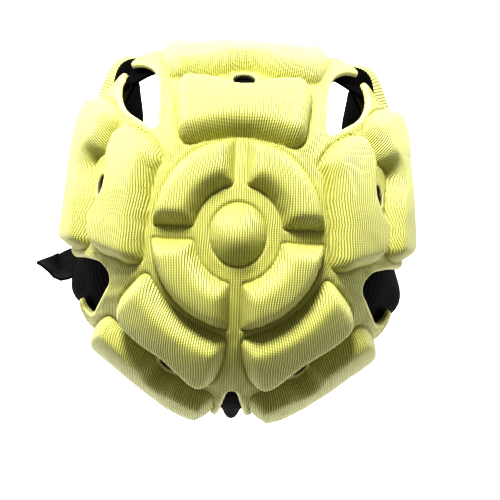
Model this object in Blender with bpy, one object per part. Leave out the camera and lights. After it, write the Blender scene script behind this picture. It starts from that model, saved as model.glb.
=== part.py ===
"""Soft-shell padded head guard: a knitted shell moulded over foam pads, a thin
lining, a padded ear flap each side, elastic straps over the gaps and a chin
strap. Metres, +Z up. The face is toward -Y and the wearer's left is +X. The
guard stands on the lower edges of its flaps, as it does when it is put down.
"""
import bpy
import numpy as np
from mathutils import Matrix, Vector
from mathutils.geometry import delaunay_2d_cdt

# The head form, from the floor up. Its widest level is the rim height.
RIM_HEIGHT = 0.072
CROWN_RISE = 0.098
HALF_WIDTH = 0.0903
HALF_LENGTH = 0.1006
PROFILE_POWER = 2.3
FLARE = 2.5
MEAN_RADIUS = 0.5 * (HALF_WIDTH + HALF_LENGTH)

# Layers, measured outward from the inner face of the shell.
WEB = 0.0030
PAD_RISE = 0.0098
PAD_SHOULDER = 0.0075
PAD_FULLNESS = 0.85
GAP = 0.0003
LINING = 0.0010
STRAP = 0.0016
STRAP_GAP = 0.0010
FLAP_GAP = 0.0016
STRAP_SEAT = -(GAP + LINING + STRAP_GAP)
FLAP_SEAT = STRAP_SEAT - STRAP - FLAP_GAP

# Mesh steps. The inner sheets are coarser than the padded outer one, and a point
# keeps a share of its step as room to its neighbours.
EDGE_STEP = 0.0066
SHELL_STEP = 0.0092
INNER_STEP = 0.0118
FLAP_STEP = 0.0090
SHOULDER_RINGS = (0.30, 0.72)
FLAP_RING = 0.45
CROWDING = 0.9
RING_ROOM = 0.37
FILL_ROOM = 0.62
SHARP_DEG = 40.0
CURVE_SAMPLES = 24

# How far the form bulges beyond an oval, by azimuth from the face.
# Columns: azimuth_deg, at_rim, at_floor.
FORM_ROWS = (
    (0.0, 1.000, 1.000),
    (12.0, 1.025, 1.020),
    (22.0, 1.095, 1.090),
    (30.0, 1.235, 1.205),
    (39.0, 1.290, 1.310),
    (48.5, 1.235, 1.125),
    (58.0, 1.165, 1.020),
    (67.0, 1.085, 0.968),
    (76.0, 1.035, 0.945),
    (88.0, 1.022, 0.940),
    (95.0, 1.060, 0.945),
    (103.0, 1.125, 0.960),
    (110.0, 1.140, 0.965),
    (122.0, 1.075, 0.950),
    (136.0, 0.955, 0.880),
    (147.0, 0.933, 0.860),
    (157.0, 0.955, 0.880),
    (165.0, 0.980, 0.900),
    (170.0, 0.995, 0.910),
    (175.0, 1.050, 0.950),
    (180.0, 1.090, 0.980),
)

# Outlines. A reach is a share of the arc from the crown down to the rim.
# Columns: azimuth_deg, reach.
SHELL_EDGE = (
    (0.0, 0.970), (13.0, 0.970), (23.5, 0.963), (28.0, 0.944), (31.2, 0.914),
    (34.4, 0.889), (36.9, 0.870), (37.5, 0.852), (36.0, 0.829), (33.9, 0.788),
    (32.3, 0.720), (32.4, 0.650), (34.2, 0.575), (37.8, 0.504), (40.6, 0.466),
    (43.2, 0.460), (44.9, 0.500), (46.2, 0.556), (47.0, 0.610), (47.0, 0.665),
    (45.6, 0.735), (43.4, 0.785), (41.0, 0.810), (39.9, 0.824), (41.0, 0.838),
    (44.6, 0.852), (47.2, 0.880), (49.0, 0.922), (51.4, 0.947),
    (56.5, 0.955), (70.0, 0.957), (84.0, 0.955), (92.0, 0.950),
    (96.0, 0.925), (98.0, 0.860), (99.3, 0.770), (99.8, 0.662), (100.8, 0.592),
    (102.2, 0.542), (105.0, 0.512), (108.0, 0.501), (111.0, 0.515), (113.2, 0.553),
    (115.2, 0.598), (116.8, 0.649), (118.0, 0.705), (117.5, 0.752), (115.2, 0.775),
    (112.8, 0.772), (112.3, 0.792), (114.6, 0.834), (118.0, 0.882), (120.3, 0.945),
    (122.4, 1.015), (128.0, 1.050), (140.0, 1.075), (155.0, 1.100),
    (166.0, 1.108), (170.5, 1.112), (173.4, 1.122), (174.6, 1.085), (175.0, 0.970),
    (175.7, 0.840), (176.3, 0.705), (177.0, 0.637), (177.8, 0.583), (178.8, 0.556),
    (180.0, 0.552),
)
# Vent holes. Columns: azimuth_deg, reach, width_share, depth_share.
VENT_ROWS = (
    (0.0, 0.555, 1.28, 1.22),
    (74.0, 0.578, 1.05, 0.78),
    (151.5, 0.544, 1.00, 0.66),
)
VENT_WIDTH = 0.0102
VENT_DEPTH = 0.0080

DOME_REACH = 0.096
RING_INNER = 0.150
RING_OUTER = 0.296
RING_GAP_MIDDLE = 0.0068
RING_GAP_ACROSS = 0.0066

FRONT_CROWN_PAD = (
    (0.0, 0.304), (14.0, 0.305), (24.8, 0.312), (31.5, 0.321), (35.4, 0.339),
    (36.2, 0.372), (33.4, 0.423), (30.8, 0.484), (29.0, 0.535), (26.4, 0.568),
    (22.0, 0.578), (15.0, 0.553), (9.0, 0.529), (4.5, 0.505), (0.0, 0.498),
)
BROW_PAD = (
    (0.0, 0.616), (4.5, 0.611), (8.5, 0.592), (13.5, 0.581), (19.0, 0.588),
    (25.0, 0.600), (28.4, 0.630), (29.0, 0.700), (28.9, 0.790), (28.6, 0.870),
    (25.8, 0.925), (13.0, 0.942), (0.0, 0.942),
)
SIDE_CROWN_PAD = (
    (50.0, 0.352), (57.0, 0.341), (67.0, 0.327), (78.0, 0.319), (89.0, 0.318),
    (99.5, 0.325), (105.8, 0.339), (106.8, 0.372), (104.6, 0.408), (101.6, 0.455),
    (98.8, 0.520), (95.0, 0.553), (89.5, 0.566), (83.5, 0.562), (79.8, 0.545),
    (77.0, 0.527), (73.5, 0.521), (69.5, 0.527), (66.0, 0.545), (62.0, 0.560),
    (57.0, 0.568), (52.0, 0.562), (49.0, 0.530), (47.6, 0.470), (47.0, 0.410),
)
SIDE_LOW_PAD = (
    (50.5, 0.608), (55.0, 0.600), (60.0, 0.602), (63.4, 0.620), (65.4, 0.652),
    (68.5, 0.666), (71.6, 0.652), (74.4, 0.632), (78.0, 0.616), (84.0, 0.602),
    (90.0, 0.595), (95.2, 0.600), (97.4, 0.650), (97.0, 0.750), (95.8, 0.840),
    (93.6, 0.905), (83.0, 0.930), (66.0, 0.932), (54.0, 0.925), (50.4, 0.895),
    (49.0, 0.830), (48.2, 0.755), (48.4, 0.690), (48.9, 0.640),
)
REAR_CROWN_PAD = (
    (113.6, 0.334), (120.2, 0.326), (131.0, 0.323), (142.0, 0.320), (154.0, 0.318),
    (165.0, 0.318), (173.0, 0.324), (175.6, 0.344), (175.4, 0.392), (174.0, 0.455),
    (171.8, 0.515), (168.2, 0.540), (162.6, 0.536), (157.0, 0.515), (152.5, 0.504),
    (148.0, 0.497), (143.5, 0.503), (138.0, 0.512), (131.0, 0.522), (125.0, 0.525),
    (120.4, 0.506), (117.0, 0.455), (114.3, 0.395), (112.8, 0.357),
)
REAR_LOW_PAD = (
    (122.4, 0.582), (128.0, 0.562), (136.0, 0.553), (143.0, 0.549), (146.6, 0.556),
    (149.2, 0.584), (152.4, 0.594), (155.4, 0.584), (158.8, 0.568), (163.0, 0.576),
    (168.2, 0.586), (172.6, 0.606), (173.9, 0.670), (173.6, 0.790), (172.8, 0.930),
    (170.6, 1.050), (164.0, 1.085), (150.0, 1.068), (136.0, 1.042), (127.4, 1.008),
    (123.8, 0.940), (122.8, 0.830), (121.6, 0.710), (121.0, 0.630),
)

# Ear flaps. A drop is a share of the height from the rim down to the floor.
# Columns: azimuth_deg, drop.
FLAP_RADIUS = 0.0900
FLAP_EDGE = (
    (34.0, -0.20), (46.0, -0.31), (60.0, -0.34), (80.0, -0.34), (97.0, -0.33),
    (110.0, -0.28), (117.0, -0.12), (120.0, 0.10), (121.0, 0.35), (121.4, 0.60),
    (121.4, 0.82), (120.8, 0.95), (118.8, 1.00), (88.0, 1.00), (70.0, 1.00),
    (57.0, 1.00), (49.0, 0.96), (42.0, 0.82), (36.0, 0.60), (32.4, 0.34),
    (31.6, 0.10), (32.2, -0.08),
)
EAR_HOLE = (
    (79.0, 0.06), (87.0, 0.09), (93.0, 0.20), (94.5, 0.35), (91.0, 0.49),
    (83.5, 0.56), (75.5, 0.53), (70.5, 0.42), (69.0, 0.28), (72.0, 0.13),
)
CHEEK_PAD = (
    (36.0, 0.12), (48.0, 0.06), (60.0, 0.05), (64.5, 0.12), (63.5, 0.24),
    (63.5, 0.42), (67.5, 0.57), (75.0, 0.655), (83.5, 0.69), (86.0, 0.76),
    (84.0, 0.90), (78.0, 0.945), (57.0, 0.945), (50.0, 0.90), (43.6, 0.76),
    (38.0, 0.56), (35.0, 0.34), (34.6, 0.20),
)
BACK_PAD = (
    (101.0, 0.06), (109.0, 0.03), (115.2, 0.12), (116.6, 0.35), (116.4, 0.60),
    (115.6, 0.80), (112.5, 0.905), (100.0, 0.920), (91.0, 0.900), (89.6, 0.80),
    (91.2, 0.68), (96.5, 0.58), (99.8, 0.42), (100.0, 0.22),
)
FLAP_THICKNESS = 0.0030
FLAP_PAD_RISE = 0.0055
# The flap bellies out over the cheek, from one drop to another, and comes back
# by the floor. Behind the cheek it hangs straight.
CHEEK_SWING = 0.0085
SWING_FROM = -0.10
SWING_TO = 0.30
CHEEK_END_DEG = (56.0, 84.0)

# Elastic straps. Their ends are sewn behind the shell, and the side and rear ones
# are tall enough to fill their gaps. In the gap the lower edge stands out and the
# upper one tips inward by a lean, both from a share of the strap's run on. Each
# edge's slant is added to its reach from start to end. Columns: name, from_deg,
# to_deg, upper, lower, upper_slant, lower_slant, stand_out, out_from, lean.
STRAP_ROWS = (
    ("strap_front", 25.5, 52.0, 0.735, 0.915, 0.130, 0.080, 0.0045, 0.16, 0.0020),
    ("strap_side", 92.0, 125.5, 0.455, 0.960, 0.0, 0.0, 0.0040, 0.20, 0.0),
    ("strap_rear", 167.0, 193.0, 0.505, 1.080, 0.0, 0.0, 0.0050, 0.30, 0.0),
)
STRAP_ROWS_ACROSS = 4
STRAP_FLARE = (0.55, 1.0)
STRAP_STEP_DEG = 2.6

# Chin strap. It is sewn to the right flap and fastened on the left one, and its
# free middle passes under both flaps and lies on the floor, bowed to the front.
CHIN_WIDTH = 0.0220
CHIN_THICKNESS = 0.0018
CHIN_AZIMUTH = 101.5
CHIN_BOW = 0.046
CHIN_HEIGHT = 0.036
CHIN_TAIL = 0.035
CHIN_CLEAR = 0.0013
CHIN_STEP = 0.0060
# The free end, past its fastening: shares of its length outward, back and up,
# and how far its width leans back and up there. Columns: outward, back, up,
# lean_back, lean_up.
TAIL_ROWS = (
    (0.26, 0.10, 0.20, 0.86, 0.50),
    (0.42, 0.20, 0.30, 0.36, 0.93),
    (0.54, 0.10, 0.32, 0.34, 0.94),
    (0.66, -0.05, 0.31, 0.66, 0.75),
)
PASS_ROOM = 0.0158
PASS_HEIGHT = CHIN_THICKNESS + 2 * GAP

COLOURS = {
    "shell": (0.780, 0.790, 0.110, 1.0),
    "lining": (0.012, 0.012, 0.013, 1.0),
    "strap": (0.020, 0.020, 0.021, 1.0),
}


def clear_scene():
    for item in list(bpy.data.objects):
        bpy.data.objects.remove(item, do_unlink=True)


def fabric(name, colour, roughness):
    material = bpy.data.materials.new(name)
    material.use_nodes = True
    shader = material.node_tree.nodes["Principled BSDF"]
    shader.inputs["Base Color"].default_value = colour
    shader.inputs["Roughness"].default_value = roughness
    return material


def smooth_table(x, xs, ys):
    """Cubic through the rows of a table that is mirrored at both its ends."""
    xs = np.concatenate([-xs[:0:-1], xs, 360.0 - xs[-2::-1]])
    ys = np.concatenate([ys[:0:-1], ys, ys[-2::-1]])
    slope = np.gradient(ys, xs)
    i = np.clip(np.searchsorted(xs, x) - 1, 0, len(xs) - 2)
    step = xs[i + 1] - xs[i]
    t = (x - xs[i]) / step
    value = ys[i] * (2 * t**3 - 3 * t**2 + 1) + ys[i + 1] * (3 * t**2 - 2 * t**3)
    return value + step * (slope[i] * (t**3 - 2 * t**2 + t) + slope[i + 1] * (t**3 - t**2))


def crown_profile():
    """Arc length, radius share and height share down the crown."""
    turn = np.linspace(0.0, np.pi / 2, 500)
    out = np.sin(turn) ** (2 / PROFILE_POWER)
    up = np.cos(turn) ** (2 / PROFILE_POWER)
    steps = np.hypot(np.diff(out) * MEAN_RADIUS, np.diff(up) * CROWN_RISE)
    return np.concatenate([[0.0], np.cumsum(steps)]), out, up


ARC, ARC_OUT, ARC_UP = crown_profile()
CROWN_ARC = float(ARC[-1])
FORM = np.array(FORM_ROWS)


def ramp(x, start, end):
    """Smooth step from 0 at the start to 1 at the end."""
    t = np.clip((x - start) / (end - start), 0.0, 1.0)
    return t * t * (3.0 - 2.0 * t)


def form_point(azimuth, arc):
    """Point of the head form at an azimuth in degrees and an arc from the crown."""
    azimuth = np.mod(azimuth, 360.0)
    at_rim = smooth_table(azimuth, FORM[:, 0], FORM[:, 1])
    at_floor = smooth_table(azimuth, FORM[:, 0], FORM[:, 2])
    drop = np.maximum(arc - CROWN_ARC, 0.0)
    sink = np.clip(drop / RIM_HEIGHT, 0.0, 1.2) ** 1.6
    reach = np.clip(arc / CROWN_ARC, 0.0, 1.0)
    bulge = 1.0 + (at_rim - 1.0) * reach**FLARE
    share = (bulge + (at_floor - at_rim) * sink) * np.interp(arc, ARC, ARC_OUT)
    height = RIM_HEIGHT + CROWN_RISE * np.interp(arc, ARC, ARC_UP) - drop
    turn = np.radians(azimuth)
    x = share * HALF_WIDTH * np.sin(turn)
    y = -share * HALF_LENGTH * np.cos(turn)
    return np.stack([x, y, height], axis=-1)


def crown_flat(azimuth, arc):
    """Position in the flat crown pattern."""
    turn = np.radians(azimuth)
    return np.stack([arc * np.sin(turn), -arc * np.cos(turn)], axis=-1)


def crown_raise(flat, lift):
    """Lay points of the crown pattern on the form, raised by their lift."""
    small = 1e-4

    def at(p):
        azimuth = np.degrees(np.arctan2(p[:, 0], -p[:, 1]))
        return form_point(azimuth, np.hypot(p[:, 0], p[:, 1]))

    across = at(flat + (small, 0.0)) - at(flat - (small, 0.0))
    along = at(flat + (0.0, small)) - at(flat - (0.0, small))
    normal = np.cross(across, along)
    normal /= np.linalg.norm(normal, axis=1, keepdims=True)
    return at(flat) + normal * np.broadcast_to(lift, len(flat))[:, None]


def flap_flat(azimuth, drop):
    """Position in the flat flap pattern: along the edge, and down."""
    return np.stack([np.radians(azimuth) * FLAP_RADIUS, drop * RIM_HEIGHT], axis=-1)


def flap_raise(flat, lift):
    """Lay points of the flap pattern on the form; the lift is level by the floor."""
    small = 0.05

    def at(p, turn):
        azimuth = np.degrees(p[:, 0] / FLAP_RADIUS) + turn
        return form_point(azimuth, p[:, 1] + CROWN_ARC)

    around = at(flat, small) - at(flat, -small)
    normal = np.stack([-around[:, 1], around[:, 0], np.zeros(len(flat))], axis=1)
    normal /= -np.linalg.norm(normal, axis=1, keepdims=True)
    slope = at(flat + (0.0, 1e-4), 0.0) - at(flat - (0.0, 1e-4), 0.0)
    down = slope / np.linalg.norm(slope, axis=1, keepdims=True)
    tilt = np.sum(normal * down, axis=1) * (1.0 - ramp(flat[:, 1] / RIM_HEIGHT, 0.0, 0.5))
    normal = normal - down * tilt[:, None]
    normal /= np.linalg.norm(normal, axis=1, keepdims=True)
    return at(flat, 0.0) + normal * np.broadcast_to(lift, len(flat))[:, None]


def spline(points):
    """Closed smooth curve through points, sampled at the edge step."""
    before, here = np.roll(points, 1, axis=0), points
    after, last = np.roll(points, -1, axis=0), np.roll(points, -2, axis=0)
    rows = []
    for t in np.linspace(0.0, 1.0, CURVE_SAMPLES, endpoint=False):
        curve = 2 * here + (after - before) * t + (2 * before - 5 * here + 4 * after - last) * t**2
        rows.append(0.5 * (curve + (3 * here - before - 3 * after + last) * t**3))
    dense = np.stack(rows, axis=1).reshape(-1, 2)
    return even(dense)


def even(loop):
    """Resample a closed loop at the edge step."""
    closed = np.vstack([loop, loop[:1]])
    run = np.concatenate([[0.0], np.cumsum(np.hypot(*np.diff(closed, axis=0).T))])
    count = int(round(run[-1] / EDGE_STEP))
    at = np.arange(count) * run[-1] / count
    return np.stack([np.interp(at, run, closed[:, k]) for k in (0, 1)], axis=1)


def mirrored(rows):
    """Both halves of an outline that starts on the middle plane; others as given."""
    if rows[0][0] != 0.0:
        return list(rows)
    inner = [row for row in rows if 0.0 < row[0] < 180.0]
    return list(rows) + [(360.0 - azimuth, reach) for azimuth, reach in reversed(inner)]


def crown_outline(rows):
    table = np.array(mirrored(rows))
    return spline(crown_flat(table[:, 0], table[:, 1] * CROWN_ARC))


def flap_outline(rows):
    table = np.array(rows)
    return spline(flap_flat(table[:, 0], table[:, 1]))


def other_side(loop):
    """An outline carried over to the wearer's right."""
    return (loop * (-1.0, 1.0))[::-1]


def ring_pad(across, along):
    """One quarter of the ring round the dome, between two straight gaps."""
    points = []
    for reach, order in ((RING_OUTER, 1), (RING_INNER, -1)):
        radius = reach * CROWN_ARC
        first = np.arcsin(0.5 * RING_GAP_MIDDLE / radius)
        last = np.pi / 2 - np.arcsin(0.5 * RING_GAP_ACROSS / radius)
        points += [(radius * np.sin(a), -radius * np.cos(a))
                   for a in np.linspace(first, last, 13)[::order]]
    quarter = even(np.array(points)) * (across, along)
    return quarter if across * along > 0 else quarter[::-1]


def crown_pads():
    circle = np.radians(np.arange(0.0, 360.0, 30.0))
    dome = DOME_REACH * CROWN_ARC * np.stack([np.sin(circle), -np.cos(circle)], axis=1)
    pads = [spline(dome)]
    pads += [ring_pad(across, along) for across in (1, -1) for along in (1, -1)]
    pads += [crown_outline(FRONT_CROWN_PAD), crown_outline(BROW_PAD)]
    for rows in (SIDE_CROWN_PAD, SIDE_LOW_PAD, REAR_CROWN_PAD, REAR_LOW_PAD):
        loop = crown_outline(rows)
        pads += [loop, other_side(loop)]
    return pads


def crown_vents():
    vents = []
    for azimuth, reach, width, depth in VENT_ROWS:
        middle = crown_flat(azimuth, reach * CROWN_ARC)
        out = middle / np.linalg.norm(middle)
        side = np.array([-out[1], out[0]])
        turn = np.radians(np.arange(0.0, 360.0, 36.0))[:, None]
        loop = middle + side * np.sin(turn) * VENT_WIDTH * width / 2
        loop = loop + out * np.cos(turn) * VENT_DEPTH * depth / 2
        vents.append(loop)
        if azimuth > 0.0:
            vents.append(other_side(loop))
    return vents


def inside(points, loop):
    """Which points lie inside a closed loop."""
    x, y = points[:, None, 0], points[:, None, 1]
    ax, ay = loop[None, :, 0], loop[None, :, 1]
    bx, by = np.roll(loop, -1, axis=0)[None, :, 0], np.roll(loop, -1, axis=0)[None, :, 1]
    crosses = (ay > y) != (by > y)
    height = np.where(by == ay, 1.0, by - ay)
    return (crosses & (x < ax + (y - ay) * (bx - ax) / height)).sum(axis=1) % 2 == 1


def distance(points, loop):
    """Distance of each point from a closed loop."""
    start, run = loop, np.roll(loop, -1, axis=0) - loop
    away = points[:, None, :] - start[None, :, :]
    share = np.clip((away * run).sum(axis=2) / (run * run).sum(axis=1), 0.0, 1.0)
    return np.linalg.norm(away - run[None, :, :] * share[:, :, None], axis=2).min(axis=1)


def pad_height(points, pads, rise, shoulder):
    """Rounded pad height over each point of a pattern."""
    height = np.zeros(len(points))
    for loop in pads:
        depth = np.where(inside(points, loop), distance(points, loop), 0.0)
        t = np.clip(depth / shoulder, 0.0, 1.0)
        height = np.maximum(height, rise * np.sin(t * np.pi / 2) ** PAD_FULLNESS)
    return height


def inset(loop, depth):
    """Points a set depth inside a loop, leaving out those a corner crowds."""
    tangent = np.roll(loop, -1, axis=0) - np.roll(loop, 1, axis=0)
    tangent /= np.linalg.norm(tangent, axis=1, keepdims=True)
    normal = np.stack([-tangent[:, 1], tangent[:, 0]], axis=1)
    if not inside(loop[:1] + normal[:1] * 1e-4, loop)[0]:
        normal = -normal
    moved = loop + normal * depth
    keep = inside(moved, loop) & (distance(moved, loop) > CROWDING * depth)
    return moved[keep]


def lattice(loop, step):
    """Staggered points over the area inside a loop."""
    low, high = loop.min(axis=0), loop.max(axis=0)
    rows = []
    for k, y in enumerate(np.arange(low[1], high[1], step * 0.866)):
        xs = np.arange(low[0] + (k % 2) * step / 2, high[0], step)
        rows.append(np.stack([xs, np.full(len(xs), y)], axis=1))
    points = np.vstack(rows)
    return points[inside(points, loop)]


def thin_out(points, taken, room):
    """Points that keep their room from those already taken and from each other."""
    kept = [tuple(p) for p in taken]
    fresh = []
    for p in points:
        near = np.array(kept)
        if np.min(np.hypot(near[:, 0] - p[0], near[:, 1] - p[1])) > room:
            kept.append(tuple(p))
            fresh.append(p)
    return np.array(fresh).reshape(-1, 2)


def triangulate(loops, loose):
    """Triangles over the first loop; every loop is kept as an edge."""
    points = [tuple(p) for loop in loops for p in loop]
    edges = []
    start = 0
    for loop in loops:
        count = len(loop)
        edges += [(start + k, start + (k + 1) % count) for k in range(count)]
        start += count
    points += [tuple(p) for p in loose]
    flat = [Vector((float(x), float(y))) for x, y in points]
    found = delaunay_2d_cdt(flat, edges, [], 0, 1e-9, False)
    position = np.array([tuple(p) for p in found[0]])
    if len(position) != len(points):
        raise ValueError("the outlines touch each other")
    faces = np.array([tuple(face) for face in found[2]])
    order = np.argmin(np.linalg.norm(position[None, :200] - position[:200, None], axis=2), axis=1)
    if np.any(order != np.arange(len(order))):
        raise ValueError("the pattern has repeated points")
    middle = position[faces].mean(axis=1)
    faces = faces[inside(middle, loops[0])]
    a, b, c = (position[faces[:, k]] for k in range(3))
    turn = (b[:, 0] - a[:, 0]) * (c[:, 1] - a[:, 1]) - (b[:, 1] - a[:, 1]) * (c[:, 0] - a[:, 0])
    faces[turn < 0] = faces[turn < 0][:, ::-1]
    return position, faces


def without(position, faces, holes):
    """Faces whose middle lies in none of the holes."""
    middle = position[faces].mean(axis=1)
    keep = np.ones(len(faces), dtype=bool)
    for hole in holes:
        keep &= ~inside(middle, hole)
    return faces[keep]


def border_edges(faces):
    """Directed edges that belong to one face only."""
    seen = set()
    for a, b, c in faces.tolist():
        seen.update(((a, b), (b, c), (c, a)))
    return sorted(edge for edge in seen if (edge[1], edge[0]) not in seen)


def join_sheets(outer, outer_faces, inner, inner_faces, match):
    """Close an outer and an inner sheet into one solid by their shared border."""
    points = np.vstack([outer, inner])
    shift = len(outer)
    faces = [tuple(face) for face in outer_faces.tolist()]
    faces += [(c + shift, b + shift, a + shift) for a, b, c in inner_faces.tolist()]
    for a, b in border_edges(outer_faces):
        inner_a, inner_b = match[a] + shift, match[b] + shift
        faces += [(b, a, inner_a), (b, inner_a, inner_b)]
    used = sorted({k for face in faces for k in face})
    renumber = {old: new for new, old in enumerate(used)}
    return points[used], [tuple(renumber[k] for k in face) for face in faces]


def shared_border(outer_flat, inner_flat, faces):
    """For each border point of the outer sheet, the same point of the inner one."""
    match = {}
    for a, _ in border_edges(faces):
        gap = np.hypot(*(inner_flat - outer_flat[a]).T)
        match[a] = int(np.argmin(gap))
        if gap[match[a]] > 1e-7:
            raise ValueError("the two sheets have different borders")
    return match


def outward(points, faces):
    """Turn the faces over when the solid is inside out."""
    a, b, c = (points[[face[k] for face in faces]] for k in range(3))
    volume = np.sum(a * np.cross(b, c)) / 6.0
    return faces if volume > 0 else [tuple(reversed(face)) for face in faces]


def solid(name, points, faces, material):
    mesh = bpy.data.meshes.new(name)
    mesh.from_pydata([tuple(p) for p in points], [], outward(points, faces))
    mesh.validate()
    mesh.materials.append(material)
    mesh.shade_smooth()
    mesh.set_sharp_from_angle(angle=np.radians(SHARP_DEG))
    item = bpy.data.objects.new(name, mesh)
    bpy.context.collection.objects.link(item)
    return item


def mirror_mesh(points, faces):
    return points * (-1.0, 1.0, 1.0), [tuple(reversed(face)) for face in faces]


def shell_and_lining(yellow, black):
    edge = crown_outline(SHELL_EDGE)
    vents = crown_vents()
    pads = crown_pads()
    loose = np.empty((0, 2))
    fixed = np.vstack([edge] + vents + pads)
    for depth in SHOULDER_RINGS:
        ring = np.vstack([inset(pad, PAD_SHOULDER * depth) for pad in pads])
        loose = np.vstack([loose, thin_out(ring, np.vstack([fixed, loose]), EDGE_STEP * RING_ROOM)])
    fill = thin_out(lattice(edge, SHELL_STEP), np.vstack([fixed, loose]), SHELL_STEP * FILL_ROOM)
    outer_flat, outer_all = triangulate([edge] + vents + pads, np.vstack([loose, fill]))
    outer_faces = without(outer_flat, outer_all, vents)
    lift = WEB + pad_height(outer_flat, pads, PAD_RISE, PAD_SHOULDER)
    outer = crown_raise(outer_flat, lift)

    coarse = thin_out(lattice(edge, INNER_STEP), np.vstack([edge] + vents), INNER_STEP * FILL_ROOM)
    inner_flat, inner_all = triangulate([edge] + vents, coarse)
    inner_faces = without(inner_flat, inner_all, vents)
    inner = crown_raise(inner_flat, 0.0)
    match = shared_border(outer_flat, inner_flat, outer_faces)
    points, faces = join_sheets(outer, outer_faces, inner, inner_faces, match)
    solid("shell", points, faces, yellow)

    same = {k: k for k in range(len(inner_flat))}
    near = crown_raise(inner_flat, -GAP)
    far = crown_raise(inner_flat, -(GAP + LINING))
    points, faces = join_sheets(near, inner_all, far, inner_all, same)
    solid("lining", points, faces, black)


def flap_seat(flat):
    """Lift of the flap's inner face over each point of its pattern."""
    azimuth = np.degrees(flat[:, 0] / FLAP_RADIUS)
    drop = flat[:, 1] / RIM_HEIGHT
    belly = ramp(drop, SWING_FROM, SWING_TO) * (1.0 - ramp(drop, SWING_TO, 1.0))
    cheek = 1.0 - ramp(azimuth, *CHEEK_END_DEG)
    return FLAP_SEAT - FLAP_THICKNESS + CHEEK_SWING * cheek * belly


def flap_face(flat):
    """Lift of the flap's padded outer face over each point of its pattern."""
    pads = [flap_outline(CHEEK_PAD), flap_outline(BACK_PAD)]
    relief = pad_height(flat, pads, FLAP_PAD_RISE, PAD_SHOULDER)
    return flap_seat(flat) + FLAP_THICKNESS + relief


def flap_border():
    """Flap outline: level on the floor, and raised where the chin strap passes."""
    loop = flap_outline(FLAP_EDGE)
    middle = np.radians(CHIN_AZIMUTH) * FLAP_RADIUS
    away = np.abs(loop[:, 0] - middle)
    floor = RIM_HEIGHT - PASS_HEIGHT * (1.0 - ramp(away, PASS_ROOM, PASS_ROOM + EDGE_STEP))
    loop[:, 1] = np.minimum(loop[:, 1], floor)
    return loop


def flap_pair(yellow, black):
    edge, hole = flap_border(), flap_outline(EAR_HOLE)
    pads = [flap_outline(CHEEK_PAD), flap_outline(BACK_PAD)]
    fixed = np.vstack([edge, hole] + pads)
    ring = np.vstack([inset(pad, PAD_SHOULDER * FLAP_RING) for pad in pads])
    ring = thin_out(ring, fixed, EDGE_STEP * RING_ROOM)
    fill = thin_out(lattice(edge, FLAP_STEP), np.vstack([fixed, ring]), FLAP_STEP * FILL_ROOM)
    outer_flat, outer_all = triangulate([edge, hole] + pads, np.vstack([ring, fill]))
    outer_faces = without(outer_flat, outer_all, [hole])
    outer = flap_raise(outer_flat, flap_face(outer_flat))

    coarse = thin_out(lattice(edge, INNER_STEP), np.vstack([edge, hole]), INNER_STEP * FILL_ROOM)
    inner_flat, inner_all = triangulate([edge, hole], coarse)
    inner_faces = without(inner_flat, inner_all, [hole])
    seat = flap_seat(inner_flat)
    inner = flap_raise(inner_flat, seat)
    match = shared_border(outer_flat, inner_flat, outer_faces)
    flap = join_sheets(outer, outer_faces, inner, inner_faces, match)

    same = {k: k for k in range(len(inner_flat))}
    near = flap_raise(inner_flat, seat - GAP)
    far = flap_raise(inner_flat, seat - GAP - LINING)
    backing = join_sheets(near, inner_faces, far, inner_faces, same)
    for name, (points, faces), cloth in (("ear_flap", flap, yellow), ("flap_lining", backing, black)):
        solid(name + "_left", points, faces, cloth)
        solid(name + "_right", *mirror_mesh(points, faces), cloth)


def grid_solid(near, far):
    """Closed solid between two matching grids of points."""
    rows, columns = near.shape[:2]
    points = np.vstack([near.reshape(-1, 3), far.reshape(-1, 3)])
    shift = rows * columns
    faces = []
    for i in range(rows - 1):
        for j in range(columns - 1):
            a, b = i * columns + j, i * columns + j + 1
            c, d = a + columns, b + columns
            faces += [(a, b, d), (a, d, c)]
            faces += [(a + shift, d + shift, b + shift), (a + shift, c + shift, d + shift)]
    border = [j for j in range(columns)]
    border += [i * columns + columns - 1 for i in range(1, rows)]
    border += [(rows - 1) * columns + j for j in range(columns - 2, -1, -1)]
    border += [i * columns for i in range(rows - 2, 0, -1)]
    for k, a in enumerate(border):
        b = border[(k + 1) % len(border)]
        faces += [(b, a, a + shift), (b, a + shift, b + shift)]
    return points, faces


def elastic_straps(black):
    for row in STRAP_ROWS:
        name, start, end, upper, lower, upper_slant, lower_slant = row[:7]
        stand_out, out_from, lean = row[7:]
        count = int(round((end - start) / STRAP_STEP_DEG)) + 1
        azimuth, reach = np.meshgrid(
            np.linspace(start, end, count),
            np.linspace(upper, lower, STRAP_ROWS_ACROSS),
            indexing="ij")
        run = (azimuth - start) / (end - start)
        middle = ramp(np.minimum(run, 1.0 - run), out_from, 0.5)
        down = (reach - upper) / (lower - upper)
        lift = STRAP_SEAT + (stand_out * ramp(down, *STRAP_FLARE) - lean * (1.0 - down)) * middle
        reach = reach + (upper_slant + down * (lower_slant - upper_slant)) * run
        flat = crown_flat(azimuth.ravel(), reach.ravel() * CROWN_ARC)
        near = crown_raise(flat, lift.ravel()).reshape(azimuth.shape + (3,))
        far = crown_raise(flat, lift.ravel() - STRAP).reshape(azimuth.shape + (3,))
        points, faces = grid_solid(near, far)
        if start < 180.0 < end:
            solid(name, points, faces, black)
            continue
        solid(name + "_left", points, faces, black)
        solid(name + "_right", *mirror_mesh(points, faces), black)


def flap_foot(azimuth, height, lift):
    """Point at a height over the floor, out from the flap's padded face."""
    flat = flap_flat(np.array([azimuth]), np.array([1.0 - height / RIM_HEIGHT]))
    return flap_raise(flat, flap_face(flat) + lift)[0]


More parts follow.
